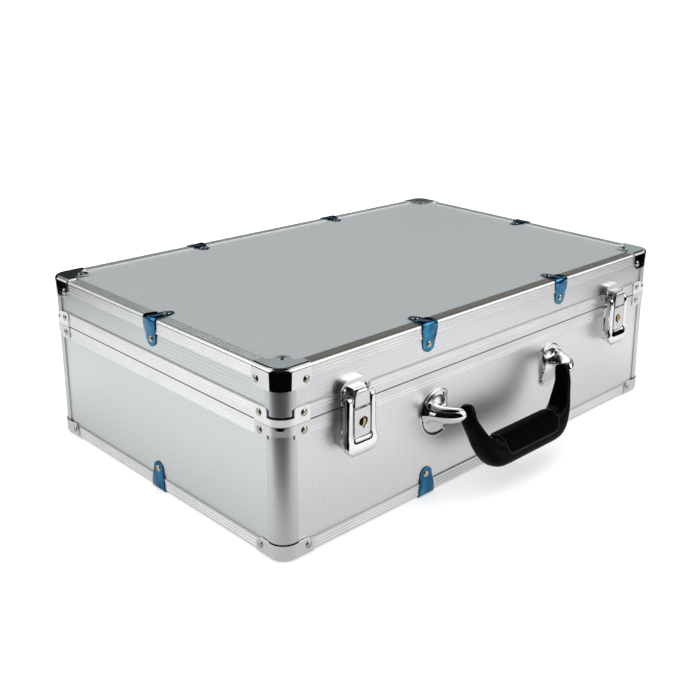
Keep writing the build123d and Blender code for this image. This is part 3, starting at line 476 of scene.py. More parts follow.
# %% Soft finishes
def soft_finish(name, dark, light, roughness, grain_scale, grain_depth, sheen=0.0, shine=0.4):
    """Plastic, rubber or felt in a dark and a light grey, with a grain depth in metres."""
    material, tree, shader = blank_material(name, {"Sheen Weight": sheen, "Specular IOR Level": shine})
    grain = noise(tree, object_place(tree), grain_scale, 4.0)
    tree.links.new(ramp(tree, grain, (0.35, dark), (0.7, light)), shader.inputs["Base Color"])
    tree.links.new(mapped(tree, grain, 0, 1, roughness - 0.06, roughness + 0.08), shader.inputs["Roughness"])
    emboss(tree, shader, grain, grain_depth)
    return material


def grey(value):
    """A colour whose three parts are the same."""
    return (value, value, value)


grip_plastic = soft_finish("grip_plastic", grey(0.0008), grey(0.0015), 0.24, 900, 0.00001, shine=0.035)
# The ridge is the grip's own plastic in a lighter colour and with more shine: the lighter colour is a painted
# highlight.
ridge_plastic = soft_finish("ridge_plastic", grey(0.006), grey(0.010), 0.38, 900, 0.00001, shine=0.16)
pad_rubber = soft_finish("pad_rubber", grey(0.0006), grey(0.0012), 0.6, 1500, 0.00005, shine=0.02)
felt = soft_finish("lining_felt", (0.018, 0.018, 0.020), (0.045, 0.045, 0.048), 0.9, 1400, 0.00025, sheen=0.5)
print("soft finishes: grip, ridge, pad, felt")

# %% [markdown]
# ## Finish of each node
# The name of a node says what it is on the case. The finishes could be set one by one, but rules by name
# are shorter and also fit a node that comes later. The rules are read from the top and the first one that
# fits counts. What no rule names is chromed, as the levers and the base plates are.

# %% Finish of each node
FINISH_RULES = [
    ("lid_edge_front", front_edge),
    ("*_panel_front", panel_front), ("*_panel_rear", panel_front), ("*_panel_*", panel_side),
    ("*_front", profile_x), ("*_rear", profile_x),
    ("*_edge_left", profile_y), ("*_edge_right", profile_y),
    ("*_rim_left", profile_y), ("*_rim_right", profile_y),
    ("base_floor_panel", panel_flat), ("lid_top_panel", panel_flat),
    ("lid_corner_posts", satin_post_lid), ("base_corner_posts", satin_post_base),
    ("lid_top_caps", cap_chrome), ("lid_rim_caps", rim_steel_lid),
    ("base_rim_caps", rim_steel_base), ("base_bottom_caps", brushed_steel),
    ("*_clips", clip_zinc), ("*rivets", rivet_steel),
    ("latch_hook_pin*", pin_steel), ("latch_pivot*", pin_steel),
    ("grip_pins", pin_steel), ("hinge_pins", pin_steel),
    ("latch_hook*", tile_steel), ("latch_lock_bodies", tile_steel),
    ("latch_catch_plates", plate_steel), ("latch_cylinder*", lock_brass),
    ("hinge*", hinge_steel), ("grip", grip_plastic), ("grip_pad", pad_rubber), ("*_lining", felt),
    ("*", chrome),
]
for name, node in cad_nodes.items():
    finish = next(finish for pattern, finish in FINISH_RULES if fnmatch(name, pattern))
    node.data.materials.clear()
    node.data.materials.append(finish)
print("finished", len(cad_nodes), "nodes")

# %% [markdown]
# ## Helpers for new pieces
# A piece that the solids show too plainly is made again as a mesh that is worked out here. Most pieces
# are woven from rows of points, like a net: that needs only the line of each row, and the faces follow. A
# piece then takes a finish, the body that carries it, and the solid that it stands for.

# %% Weaving a mesh
def woven(name, rows, loop_points=False, caps=False):
    """A mesh whose faces join neighbouring rows of points, which all have the same length."""
    wide = len(rows[0])
    faces = []
    for i in range(len(rows) - 1):
        for j in range(wide if loop_points else wide - 1):
            near, far = i * wide, (i + 1) * wide
            faces.append((near + j, far + j, far + (j + 1) % wide, near + (j + 1) % wide))
    if caps:
        faces.append(tuple(range(wide)))
        faces.append(tuple(reversed(range((len(rows) - 1) * wide, len(rows) * wide))))
    mesh = bpy.data.meshes.new(name)
    mesh.from_pydata([tuple(point) for row in rows for point in row], [], faces)
    return mesh


def joined(name, parts):
    """One mesh made of several, which are used up."""
    whole = bmesh.new()
    for part in parts:
        whole.from_mesh(part)
        bpy.data.meshes.remove(part)
    mesh = bpy.data.meshes.new(name)
    whole.to_mesh(mesh)
    whole.free()
    return mesh


def smooth_line(stations, steps):
    """Catmull-Rom line through stations of any number of values each, with that many steps between two."""
    line = []
    last = len(stations) - 1
    for i in range(last):
        four = [stations[max(i - 1, 0)], stations[i], stations[i + 1], stations[min(i + 2, last)]]
        for k in range(steps):
            t = k / steps
            weights = (
                -t + 2 * t ** 2 - t ** 3, 2 - 5 * t ** 2 + 3 * t ** 3,
                t + 4 * t ** 2 - 3 * t ** 3, t ** 3 - t ** 2,
            )
            line.append([sum(w * value for w, value in zip(weights, values)) / 2 for values in zip(*four)])
    return line + [list(stations[-1])]


def whole_turn(count):
    """Angles of a full turn in equal parts."""
    return [2 * math.pi * k / count for k in range(count)]


def share(value):
    """Keeps a value between 0 and 1."""
    return min(max(value, 0), 1)


print("a line through 3 stations in 4 steps has", len(smooth_line([(0,), (1,), (3,)], 4)), "points")

# %% Making a piece
WELD = 0.000005


def face_outward(mesh, direction=None):
    """Welds a mesh and turns its faces: outward on a closed skin, and toward a direction on an open one."""
    skin = bmesh.new()
    skin.from_mesh(mesh)
    bmesh.ops.remove_doubles(skin, verts=skin.verts, dist=WELD)
    bmesh.ops.recalc_face_normals(skin, faces=skin.faces)
    if direction and sum(face.normal.dot(Vector(direction)) * face.calc_area() for face in skin.faces) < 0:
        bmesh.ops.reverse_faces(skin, faces=skin.faces)
    skin.to_mesh(mesh)
    skin.free()


def new_piece(name, mesh, finish, body, replaced=(), sharp=40):
    """Puts a mesh in the scene as a piece of the case. Edges stay hard where it turns over sharp degrees."""
    mesh.shade_smooth()
    mesh.set_sharp_from_angle(angle=math.radians(sharp))
    mesh.materials.append(finish)
    made = bpy.data.objects.new(name, mesh)
    scene.collection.objects.link(made)
    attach(made, body)
    if replaced:
        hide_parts(*replaced)
    print(name, "faces:", len(mesh.polygons))
    return made


def thicken(piece, thickness):
    """Gives an open skin the thickness of its sheet, in mm, behind the skin."""
    sheet = piece.modifiers.new("sheet", "SOLIDIFY")
    sheet.thickness = thickness * MM
    sheet.offset = -1
    return sheet


print("points closer than", WELD / MM, "mm are welded")

# %% [markdown]
# ## Rivet heads
# Every cap, clip and plate is held by rivets, and each catches one glint of light. The solids have plain
# discs there. A sphere could be set on each, but a real rivet is a low dome with a small flat collar, so
# the head is turned from a short profile. Its seat is read from the frame: each loose island of the rivet
# solids is one rivet, its thinnest direction is its axis, and it stands away from the middle of the case.

# %% Islands of a node
TOUCHING = 0.000001


def islands(node):
    """Lowest and highest corner of each loose part of a CAD node."""
    loose = bmesh.new()
    loose.from_mesh(node.data)
    bmesh.ops.remove_doubles(loose, verts=loose.verts, dist=TOUCHING)
    found, met = [], set()
    for start in loose.verts:
        if start in met:
            continue
        group, front = [], [start]
        met.add(start)
        while front:
            vertex = front.pop()
            group.append(vertex.co.copy())
            for edge in vertex.link_edges:
                other = edge.other_vert(vertex)
                if other not in met:
                    met.add(other)
                    front.append(other)
        found.append((Vector(map(min, zip(*group))), Vector(map(max, zip(*group)))))
    loose.free()
    return found


print("rivets on the lid:", len(islands(cad_nodes["lid_rivets"])))

# %% Rivet heads
RIVET_COLLAR, RIVET_DOME, RIVET_POINTS, RIVET_TIP = 0.18, 0.92, 20, 0.00001
RIVET_ANGLES = (0, 25, 45, 65, 80, 90)
RIVET_RISES = [0.0] + [RIVET_COLLAR + (1 - RIVET_COLLAR) * math.sin(math.radians(a)) for a in RIVET_ANGLES]
case_middle = (Vector(cad_box[0]) + Vector(cad_box[1])) / 2


def rivet_head(low, high):
    """A dome on a collar, between two corners, as a mesh."""
    size = high - low
    axis = min(range(3), key=lambda k: size[k])
    outward = Vector((0, 0, 0))
    outward[axis] = 1 if (low + high)[axis] / 2 > case_middle[axis] else -1
    seat = (low + high) / 2 - outward * size[axis] / 2
    side = outward.orthogonal().normalized()
    over = outward.cross(side)
    rows = []
    for rise in RIVET_RISES:
        up_dome = (rise - RIVET_COLLAR) / (1 - RIVET_COLLAR)
        width = RIVET_DOME * math.sqrt(max(1 - up_dome ** 2, 0)) if rise > RIVET_COLLAR else 1.0
        reach = max(max(size) / 2 * width, RIVET_TIP)
        ring = seat + outward * rise * size[axis]
        ways = [side * math.cos(t) + over * math.sin(t) for t in whole_turn(RIVET_POINTS)]
        rows.append([ring + way * reach for way in ways])
    return woven("head", rows, loop_points=True)


for body in ("lid", "base"):
    seats = islands(cad_nodes[body + "_rivets"])
    heads = joined(body + "_rivet_heads", [rivet_head(low, high) for low, high in seats])
    face_outward(heads)
    new_piece(body + "_rivet_heads", heads, rivet_steel, body, (body + "_rivets",), sharp=60)

# %% [markdown]
# ## Moulded grip
# The grip is one smooth bow of moulded plastic. A curve with a bevel keeps one shape of section all
# along, but this one grows from a thin arm to a full bar. So stations along its middle line give its
# place and thickness, from the eye at the pin down the arm, round the corner and along the bar, and the
# other half mirrors them. Each section is a superellipse, which is a rounded rectangle without flats.

# %% Moulded grip
pin_low, pin_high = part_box("grip_pins")
pivot = (pin_low + pin_high) / 2
GRIP_LEAN = math.radians(13)
grip_up = Vector((0, math.sin(GRIP_LEAN), math.cos(GRIP_LEAN)))
grip_out = Vector((0, -math.cos(GRIP_LEAN), math.sin(GRIP_LEAN)))

# Each station, in mm: across from the middle, down from the pin, half thickness in its plane, half depth
EYE = [(62.1, -6.4, 0.4, 0.8), (62.1, -5.8, 2.6, 3.4), (62.1, -3.8, 4.0, 5.5), (62.1, 0, 4.5, 6.5)]
ARM = [(61.3, 8, 4.5, 7.2), (58.2, 15, 4.7, 8.2), (54.6, 22, 5.2, 9.4)]
CORNER = [(51.2, 28.6, 6.2, 10.3), (46.4, 34.4, 8.6, 10.8), (40.5, 38.6, 11.6, 11.0)]
BAR = [(34, 40.2, 12.9, 11.0), (17, 40.4, 13.0, 11.0), (0, 40.4, 13.0, 11.0)]
ROUNDNESS = 2 / 2.7
SECTION_POINTS = 28


def full(value):
    """Sine or cosine of a turn, pushed outward from a circle toward a rounded square."""
    return math.copysign(abs(value) ** ROUNDNESS, value)


def grip_point(x, down, thick, deep):
    """A point from across, down the bow's plane, and its offsets in the plane and out of it, in mm."""
    return pivot + (Vector((1, 0, 0)) * x - grip_up * down + grip_up * thick + grip_out * deep) * MM


half_bow = EYE + ARM + CORNER + BAR
bow_line = smooth_line([(-x, *rest) for x, *rest in half_bow] + half_bow[-2::-1], 4)
grip_rows = []
for i, (x, down, thick, deep) in enumerate(bow_line):
    before, after = bow_line[max(i - 1, 0)], bow_line[min(i + 1, len(bow_line) - 1)]
    run = Vector((after[0] - before[0], before[1] - after[1])).normalized()
    row = []
    for t in whole_turn(SECTION_POINTS):
        offset = thick * full(math.sin(t))
        row.append(grip_point(x - run.y * offset, down, run.x * offset, deep * full(math.cos(t))))
    grip_rows.append(row)
grip_mesh = woven("moulded_grip", grip_rows, loop_points=True, caps=True)
face_outward(grip_mesh)
new_piece("moulded_grip", grip_mesh, grip_plastic, "grip", ("grip",), sharp=80)

# %% [markdown]
# ## Grip pad
# A rubber pad is let into the top and the front of the bar. It could be a patch of the grip's own faces,
# but then it would have no edge of its own. So it follows the same superellipse a little further out, and
# ends in a low rolled edge. Its rows lie closer together near that edge, where the form changes most.

# %% Shape of the pad
BAR_HALF, DEEP_HALF, BAR_DOWN = BAR[-1][2], BAR[-1][3], BAR[-1][1]
PAD_HALF_LENGTH, PAD_CORNER, PAD_RISE, PAD_SINK, PAD_ROLL = 34.0, 7.0, 0.75, 0.6, 1.2
PAD_BACK_TURN, PAD_FRONT_TURN = math.radians(118), math.radians(-6)
SLIGHT_TURN = 0.01


def bar_skin(turn):
    """Place on the bar's section at a turn, as distance out and up from its middle, in mm."""
    return Vector((DEEP_HALF * full(math.cos(turn)), BAR_HALF * full(math.sin(turn))))


def bar_point(x, turn, rise):
    """A point of the bar's skin, lifted by rise, all in mm."""
    run = (bar_skin(turn + SLIGHT_TURN) - bar_skin(turn - SLIGHT_TURN)).normalized()
    lifted = bar_skin(turn) + Vector((run.y, -run.x)) * rise
    return grip_point(x, BAR_DOWN, lifted.y, lifted.x)


def pad_turn(part):
    """Turn at a part of the way from the pad's back edge, which is 0, to its front edge, which is 1."""
    return PAD_BACK_TURN + (PAD_FRONT_TURN - PAD_BACK_TURN) * part


MEASURE_STEPS = 60
measured = [bar_skin(pad_turn(k / MEASURE_STEPS)) for k in range(MEASURE_STEPS + 1)]
pad_reach = sum((after - before).length for before, after in zip(measured, measured[1:]))


def pad_half(part):
    """Half length of the pad at a part of that way, with rounded corners."""
    edge = min(part, 1 - part) * pad_reach
    if edge >= PAD_CORNER:
        return PAD_HALF_LENGTH
    return PAD_HALF_LENGTH - PAD_CORNER + math.sqrt(PAD_CORNER ** 2 - (PAD_CORNER - edge) ** 2)


def eased(count):
    """Parts from 0 to 1, closer together at both ends."""
    return [0.5 - 0.5 * math.cos(math.pi * k / (count - 1)) for k in range(count)]


print("pad reaches", round(pad_reach, 1), "mm round the bar")

# %% Rubber pad
PAD_ROWS, PAD_COLUMNS, AT_EDGE = 26, 30, 0.02

pad_rows = []
for part in eased(PAD_ROWS):
    row = []
    for place in eased(PAD_COLUMNS):
        to_side = (1 - abs(2 * place - 1)) * PAD_HALF_LENGTH
        edge = min(min(part, 1 - part) * pad_reach, to_side)
        rise = PAD_RISE * math.sqrt(min(edge / PAD_ROLL, 1.0)) - PAD_SINK * (edge < AT_EDGE)
        row.append(bar_point((2 * place - 1) * pad_half(part), pad_turn(part), rise))
    pad_rows.append(row)
pad_mesh = woven("rubber_grip_pad", pad_rows)
face_outward(pad_mesh)
pad = new_piece("rubber_grip_pad", pad_mesh, pad_rubber, "grip", ("grip_pad",), sharp=80)

# %% [markdown]
# ## Ridge round the pad
# The mould leaves a thin ridge of the plastic round the rubber, which catches a fine line of light. It
# could be raised from the grip's own faces, which would need far more of them. A curve with a round bevel
# is laid along the pad's outline instead. Its sides stand slightly outside the pad, so that the ridge
# frames the rubber and doesn't lie on it.

# %% Ridge round the pad
RIDGE_RADIUS, RIDGE_SPREAD, RIDGE_RISE = 0.8, 1.025, 0.25
RIDGE_END_TURNS = {0.0: 0.02, 1.0: -0.02}

one_side = [(pad_half(part), part) for part in eased(PAD_ROWS)]
ridge_places = one_side + [(-half, part) for half, part in reversed(one_side)]
ridge_curve = bpy.data.curves.new("pad_ridge", "CURVE")
ridge_curve.dimensions = "3D"
ridge_curve.bevel_depth = RIDGE_RADIUS * MM
ridge_curve.bevel_resolution = 3
ridge_line = ridge_curve.splines.new("POLY")
ridge_line.points.add(len(ridge_places) - 1)
for point, (x, part) in zip(ridge_line.points, ridge_places):
    turn = pad_turn(part) + RIDGE_END_TURNS.get(part, 0.0)
    point.co = (*bar_point(x * RIDGE_SPREAD, turn, RIDGE_RISE), 1)
ridge_line.use_cyclic_u = True
ridge_curve.materials.append(ridge_plastic)
pad_ridge = bpy.data.objects.new("pad_ridge", ridge_curve)
scene.collection.objects.link(pad_ridge)
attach(pad_ridge, "grip")
print("ridge points:", len(ridge_places))

# %% [markdown]
# ## Edge clips
# A clip is one strip of blue sheet bent over an edge of the case. The solid clips have straight sides and
# a step. In the photograph a clip narrows toward both round ends and leans in to its rivet smoothly. So
# it is woven along its length: it starts on the flat panel, steps over the profile, bends down and leans
# in. Each clip stands where the frame has one, and its middle and its wall are read from the loose
# islands of the node.

# %% Line of a clip
CLIP_HALF, CLIP_TIP_HALF, CLIP_NOSE_HALF = 8.4, 6.6, 5.0
CLIP_SHEET, CLIP_THICKNESS, CLIP_RECESS = 0.8, 0.75, 1.1
CLIP_REACH, CLIP_DROP, CLIP_BEND, CLIP_STRAIGHT = 21.5, 23.5, 2.6, 5
# Inward from the wall, rise over the panel, and share of the widening from the nose to the bend
STEP_OVER = ((14.5, 0, 0.12), (12.4, 0.05, 0.3), (11.4, 0.45, 0.4), (10.6, 0.9, 0.48),
             (9.6, 1.1, 0.56), (6, 1.1, 0.85), (3.5, 1.1, 1.0))
# Down from the edge, and how far the sheet leans in
LEAN_IN = ((5, 0), (8.5, 0.05), (10.5, 0.25), (12.5, 0.6), (14.5, 0.95), (15.8, 1.08))
ROUND_END = [math.radians(a) for a in range(2, 91, 11)]
ROUND_TIP = [math.radians(a) for a in range(90, 1, -11)]


def clip_stations():
    """Places along a clip as distance inward, height over the edge's plane, and half width, in mm."""
    on_panel = CLIP_SHEET - CLIP_RECESS
    stations = []
    for turn in ROUND_END:
        inward = CLIP_REACH - CLIP_NOSE_HALF * (1 - math.cos(turn))
        stations.append((inward, on_panel, CLIP_NOSE_HALF * math.sin(turn)))
    for inward, rise, widened in STEP_OVER:
        stations.append((inward, on_panel + rise, CLIP_NOSE_HALF + widened * (CLIP_HALF - CLIP_NOSE_HALF)))
    centre = CLIP_BEND - CLIP_SHEET
    for angle in range(0, 91, 10):
        turn = math.radians(angle)
        stations.append((centre - CLIP_BEND * math.sin(turn), CLIP_BEND * math.cos(turn) - centre, CLIP_HALF))
    tip_centre = CLIP_DROP - CLIP_TIP_HALF
    for down, lean in LEAN_IN:
        narrowed = (down - CLIP_STRAIGHT) / (tip_centre - CLIP_STRAIGHT)
        stations.append((lean - CLIP_SHEET, -down, CLIP_HALF - (CLIP_HALF - CLIP_TIP_HALF) * narrowed))
    for turn in ROUND_TIP:
        down = tip_centre + CLIP_TIP_HALF * math.cos(turn)
        stations.append((-on_panel, -down, CLIP_TIP_HALF * math.sin(turn)))
    return stations


print("stations along a clip:", len(clip_stations()))

# %% Edge clips
# Across a clip as a share of its half width, and how far its rounded edges lie lower, in mm
CLIP_ACROSS = ((-1, 0.12), (-0.98, 0), (0, 0), (0.98, 0), (1, 0.12))
BEND_START, BEND_LENGTH = 1.5, 3


def clip_strip(middle, axis, face, outward, up, level):
    """One clip over an edge. Its wall has an axis, a face and a way out; its edge a level and a way up."""
    rows = []
    for inward, rise, half in clip_stations():
        turned = share((BEND_START - inward) / BEND_LENGTH)
        row = []
        for across, dip in CLIP_ACROSS:
            point = Vector((0, 0, level + up * (rise - dip * (1 - turned)) * MM))
            point[axis] = face - outward * (inward + dip * turned) * MM
            point[1 - axis] = middle[1 - axis] + across * half * MM
            row.append(point)
        rows.append(row)
    strip = woven("strip", rows)
    outside = Vector((0, 0, up))
    outside[axis] = outward
    face_outward(strip, outside)
    return strip


for body, up in (("lid", 1), ("base", -1)):
    edges = {side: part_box(f"{body}_edge_{side}") for side in ("front", "rear", "left", "right")}
    level = edges["front"][1].z if up > 0 else edges["front"][0].z
    walls = [(1, edges["front"][0].y, -1), (1, edges["rear"][1].y, 1),
             (0, edges["left"][0].x, -1), (0, edges["right"][1].x, 1)]
    strips = []
    for low, high in islands(cad_nodes[body + "_clips"]):
        middle = (low + high) / 2
        nearest = min(walls, key=lambda wall: abs(middle[wall[0]] - wall[1]))
        strips.append(clip_strip(middle, *nearest, up, level))
    clip_mesh = joined(body + "_edge_clips", strips)
    clips = new_piece(body + "_edge_clips", clip_mesh, clip_zinc, body, (body + "_clips",), sharp=50)
    # The sides of the sheet take the near-black steel: painted shade along the clip's edges.
    clips.data.materials.append(shadow_steel)
    thicken(clips, CLIP_THICKNESS).material_offset_rim = 1

# %% [markdown]
# ## Measures of a latch
# A latch has a lever, which is a bright pressed bow, and a draw hook, whose satin tile fills the window
# of the bow. Their sizes could be written down again here, but then they would no longer follow the
# solids. So they are measured once from the boxes of the frame, and both skins are woven from these
# measures.

# %% Measures of a latch
WINDOW_GAP = 1.0
case_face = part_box("base_edge_front")[0].y
tile_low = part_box("latch_lock_bodies")[0]


def latch_point(middle, x, z, out):
    """A point in front of the case: across from a latch's middle, height and distance out, in mm."""
    return Vector((middle + x * MM, case_face - out * MM, z * MM))


def latch_measures(side):
    """What the frame says about one latch, in mm, except its middle, which is in metres."""
    lever_low, lever_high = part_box("latch_lever_" + side)
    hook_low, hook_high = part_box("latch_hook_" + side)
    pin_low, pin_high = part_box("latch_pivot_pins")
    pin_height = (pin_low.z + pin_high.z) / 2 / MM
    return SimpleNamespace(
        middle=(lever_low.x + lever_high.x) / 2,
        half=(lever_high.x - lever_low.x) / 2 / MM,
        bottom=lever_low.z / MM,
        top=lever_high.z / MM,
        front=(case_face - tile_low.y) / MM,
        lip=(case_face - lever_low.y) / MM,
        pin_out=(case_face - (pin_low.y + pin_high.y) / 2) / MM,
        pin_height=pin_height,
        eye=lever_high.z / MM - pin_height,
        tile_bottom=tile_low.z / MM,
        window=(hook_high.x - hook_low.x) / 2 / MM + WINDOW_GAP,
        window_low=tile_low.z / MM - WINDOW_GAP,
        hook_half=(hook_high.x - hook_low.x) / 2 / MM,
        hook_bottom=hook_low.z / MM,
        hook_top=hook_high.z / MM,
    )


latches = {side: latch_measures(side) for side in ("left", "right")}
left_latch = latches["left"]
print("lever", round(left_latch.half * 2, 1), "mm wide, tile", round(left_latch.hook_half * 2, 1), "mm wide")

# %% [markdown]
# ## Latch levers
# The lever is pressed from one sheet: two arms that roll round the pivot pin, and a lip below that a
# finger pulls. It could be a box with a window cut out and bevelled edges, but the photograph shows how
# the bow swells and how its lip stands out. So its skin is woven along the bow, and each row runs from
# the edge of the window, over the front, round the soft outer edge and back to the case. A solidify
# modifier gives the sheet its thickness.

# %% Line of a lever
LEVER_CORNER, WINDOW_CORNER, LIP_RISE, LEVER_SHEET = 8.0, 3.0, 3.25, 1.2
LIP_FLARE, FLARE_TOP, FLARE_LENGTH = 1.3, 16, 8
ARM_BACK, LIP_BACK = 5.6, 4.6
ARM_SHARES = (0, 0.02, 0.06, 0.11, 0.2, 0.35, 0.5, 0.65, 0.8, 0.9)
TOP_TRIM = 0.1


def lever_front(latch, z):
    """How far out a lever's front is at a height: round the pin, then sloping, then flat, then at the lip."""
    if z > latch.pin_height:
        return latch.pin_out + math.sqrt(max(latch.eye ** 2 - (z - latch.pin_height) ** 2, 0.01))
    bent = share((z - latch.hook_bottom) / (latch.pin_height - latch.hook_bottom))
    fallen = share((latch.tile_bottom - z) / (latch.tile_bottom - latch.bottom - LIP_RISE))
    return latch.front - bent * (latch.front - latch.pin_out - latch.eye) + fallen * (latch.lip - latch.front)


def lever_pairs(latch):
    """Round the bow: places on the window's edge and the outer edge, and how far the side reaches back."""
    start = latch.top - TOP_TRIM
    pairs = []
    for part in ARM_SHARES:
        inner_z = start + part * (latch.window_low + WINDOW_CORNER - latch.top)
        outer_z = start + part * (latch.bottom + LEVER_CORNER - latch.top)
        pairs.append(((-latch.window, inner_z), (-latch.half, outer_z), ARM_BACK))
    for angle in range(0, 91, 10):
        c, d = 1 - math.cos(math.radians(angle)), 1 - math.sin(math.radians(angle))
        inner = (-latch.window + WINDOW_CORNER * c, latch.window_low + WINDOW_CORNER * d)
        outer = (-latch.half + LEVER_CORNER * c, latch.bottom + LEVER_CORNER * d)
        pairs.append((inner, outer, ARM_BACK + LIP_BACK * (1 - d)))
    flared = []
    for inner, (u, w), back in pairs:
        flare = LIP_FLARE * share((latch.bottom + FLARE_TOP - w) / FLARE_LENGTH)
        flared.append((inner, (u - flare, w), back))
    return flared + [((-x, z), (-u, w), back) for (x, z), (u, w), back in reversed(flared)]


print("pairs round a lever:", len(lever_pairs(latches["left"])))

# %% Latch levers
LEAST_SIDE, EYE_BACK, DROP_LIMIT = 2.0, 0.6, 1.5


def lever_skin(width):
    """Stations across the sheet from the window's edge: reach toward the outer edge, and drop, in mm."""
    window_edge = [(0, 1.8), (0, 0.7), (0.2, 0.2), (0.7, 0)]
    crown = [(width * 0.45, -0.2), (width - 2.0, -0.1)]
    outer_edge = [(width - 1.1, 0.15), (width - 0.5, 0.55), (width - 0.12, 1.3), (width, 2.6)]
    return window_edge + crown + outer_edge


def lever_rows(latch):
    """The skin of a bow, one row for each pair."""
    rows = []
    for (x, z), (u, w), back in lever_pairs(latch):
        inner, outer = Vector((x, z)), Vector((u, w))
        width = (outer - inner).length
        row = []
        for reach, drop in lever_skin(width):
            place = inner.lerp(outer, reach / width)
            over = lever_front(latch, place.y)
            lowest = (over - latch.pin_out) + DROP_LIMIT
            row.append(latch_point(latch.middle, *place, over - min(drop, lowest)))
        over = lever_front(latch, w)
        behind = min(back, over - LEAST_SIDE)
        if w >= latch.pin_height:
            behind = latch.pin_out - (over - latch.pin_out) * EYE_BACK
        row.append(latch_point(latch.middle, u, w, behind))
        rows.append(row)
    return rows


for side, latch in latches.items():
    name = "lever_bow_" + side
    lever_mesh = woven(name, lever_rows(latch))
    face_outward(lever_mesh, (0, -1, 0))
    solid = ("latch_lever_" + side,)
    lever = new_piece(name, lever_mesh, chrome, "lever_" + side, solid, sharp=50)
    thicken(lever, LEVER_SHEET)

# %% [markdown]
# ## Draw hooks
# The hook is a satin tile that hangs in the window of the lever. A flat box would hide that it is bent
# sheet: it is rolled at its pin, curled in at its top, and has round shoulders. So it is woven row by row
# upward, and each row drops away at its ends. Faces that look sideways lie in the shadow between tile and
# lever, and take the near-black steel as painted shade.

# %% Draw hooks
TILE_SHOULDER, TILE_SHEET, ROLL_DROP = 5.5, 1.1, 0.8
# The tile's edges turn back: distance from the edge, and drop, in mm
SIDE_BENDS = ((0, ROLL_DROP), (0.12, 0.3), (0.5, 0.05), (1.2, 0))
BOTTOM_BENDS = ((0.4, 1.6), (0.7, 0.6), (1.3, 0.05), (2.2, 0), (6, 0))
TOP_BENDS = ((4, 0), (2.4, 0.02), (1.2, 0.15), (0.5, 0.5), (0.12, 1.1), (0, 1.9))
EDGE_TILT, EDGE_TOP = -0.85, 3


def tile_rows(latch):
    """The skin of a hook's tile, with round shoulders, rolled at its pin and curled in at its top."""
    heights = [(latch.hook_bottom + up, drop) for up, drop in BOTTOM_BENDS]
    heights += [(latch.hook_top - down, drop) for down, drop in TOP_BENDS]
    rows = []
    for z, drop in heights:
        cut = max(z - (latch.hook_top - TILE_SHOULDER), 0)
        reach = latch.hook_half - TILE_SHOULDER + math.sqrt(TILE_SHOULDER ** 2 - cut ** 2)
        columns = [(-reach + inward, edge) for inward, edge in SIDE_BENDS] + [(0, 0)]
        columns += [(reach - inward, edge) for inward, edge in reversed(SIDE_BENDS)]
        rows.append([latch_point(latch.middle, x, z, latch.front - max(drop, edge)) for x, edge in columns])
    return rows


for side, latch in latches.items():
    name = "hook_tile_" + side
    tile_mesh = woven(name, tile_rows(latch))
    face_outward(tile_mesh, (0, -1, 0))
    solid = ("latch_hook_" + side,)
    hook = new_piece(name, tile_mesh, tile_steel, "hook_" + side, solid, sharp=50)
    hook.data.materials.append(shadow_steel)
    for polygon in hook.data.polygons:
        in_shadow = polygon.normal.y > EDGE_TILT and polygon.center.z < (latch.hook_top - EDGE_TOP) * MM
        polygon.material_index = int(in_shadow)
    thicken(hook, TILE_SHEET)

# %% [markdown]
# ## Grip brackets
# Each bracket is one pressing: a flange with a rolled rim, cut straight towards the middle of the case,
# and a horn that swells out of it, bends round and ends in a blunt tip beside the eye of the grip. The
# flange is turned from its profile, with one side cut off. The horn is a tube along a smooth line, whose
# thickness changes on the way.

# %% Flange and horn
# Flange: radius, rise over its seat. Horn: across from the flange's middle, out from the case, radius. In mm
FLANGE = [(20.0, -0.3), (20.0, 0.3), (19.8, 0.9), (19.3, 1.3), (18.4, 1.45), (17.4, 1.25),
          (15, 1.6), (12, 2.6), (9, 3.8), (6, 4.6), (0.1, 5.0)]
HORN = [(9.2, 1.0, 9.8), (9.0, 3.2, 8.2), (8.4, 6.5, 7.2), (7.2, 10.5, 6.7), (5.0, 14.8, 6.4),
        (2.2, 18.2, 6.1), (-1.0, 20.6, 5.7), (-3.8, 21.8, 5.1), (-5.3, 22.0, 4.2),
        (-5.9, 22.0, 2.8), (-6.0, 22.0, 0.1)]
FLANGE_RADIUS, FLAT_SIDE, FLANGE_POINTS, HORN_POINTS = 20.0, 11.0, 48, 24
CUT_RISE, CUT_LEAN = 0.6, 0.2
HORN_SAG, SAG_END = 1.2, 15


def flange_mesh(hand, middle_x, middle_z, seat):
    """The flange of the left bracket, -1, or of the right one, 1, whose cut leans a trace as it rises."""
    rows = []
    for radius, rise in FLANGE:
        cut = FLAT_SIDE - (min(rise, CUT_RISE) * CUT_LEAN if hand > 0 else 0)
        row = []
        for t in whole_turn(FLANGE_POINTS):
            x = hand * max(hand * radius * math.cos(t), -cut)
            row.append(latch_point(0, middle_x + x, middle_z + radius * math.sin(t), seat + rise))
        rows.append(row)
    return woven("flange", rows, loop_points=True)


def horn_mesh(hand, middle_x):
    """The horn, whose faces take the second material."""
    up = Vector((0, 0, 1))
    line = smooth_line(HORN, 4)
    rows = []
    for i, (x, out, radius) in enumerate(line):
        before, after = line[max(i - 1, 0)], line[min(i + 1, len(line) - 1)]
        run = Vector((hand * (after[0] - before[0]), -(after[1] - before[1]), 0)).normalized()
        sideways = run.cross(up)
        sag = HORN_SAG * (1 - min(out / SAG_END, 1))
        centre = latch_point(0, middle_x + hand * x, pivot.z / MM - sag, out)
        ways = [sideways * math.cos(t) + up * math.sin(t) for t in whole_turn(HORN_POINTS)]
        rows.append([centre + way * radius * MM for way in ways])
    mesh = woven("horn", rows, loop_points=True)
    for polygon in mesh.polygons:
        polygon.material_index = 1
    return mesh


print("stations along a horn:", len(smooth_line(HORN, 4)))

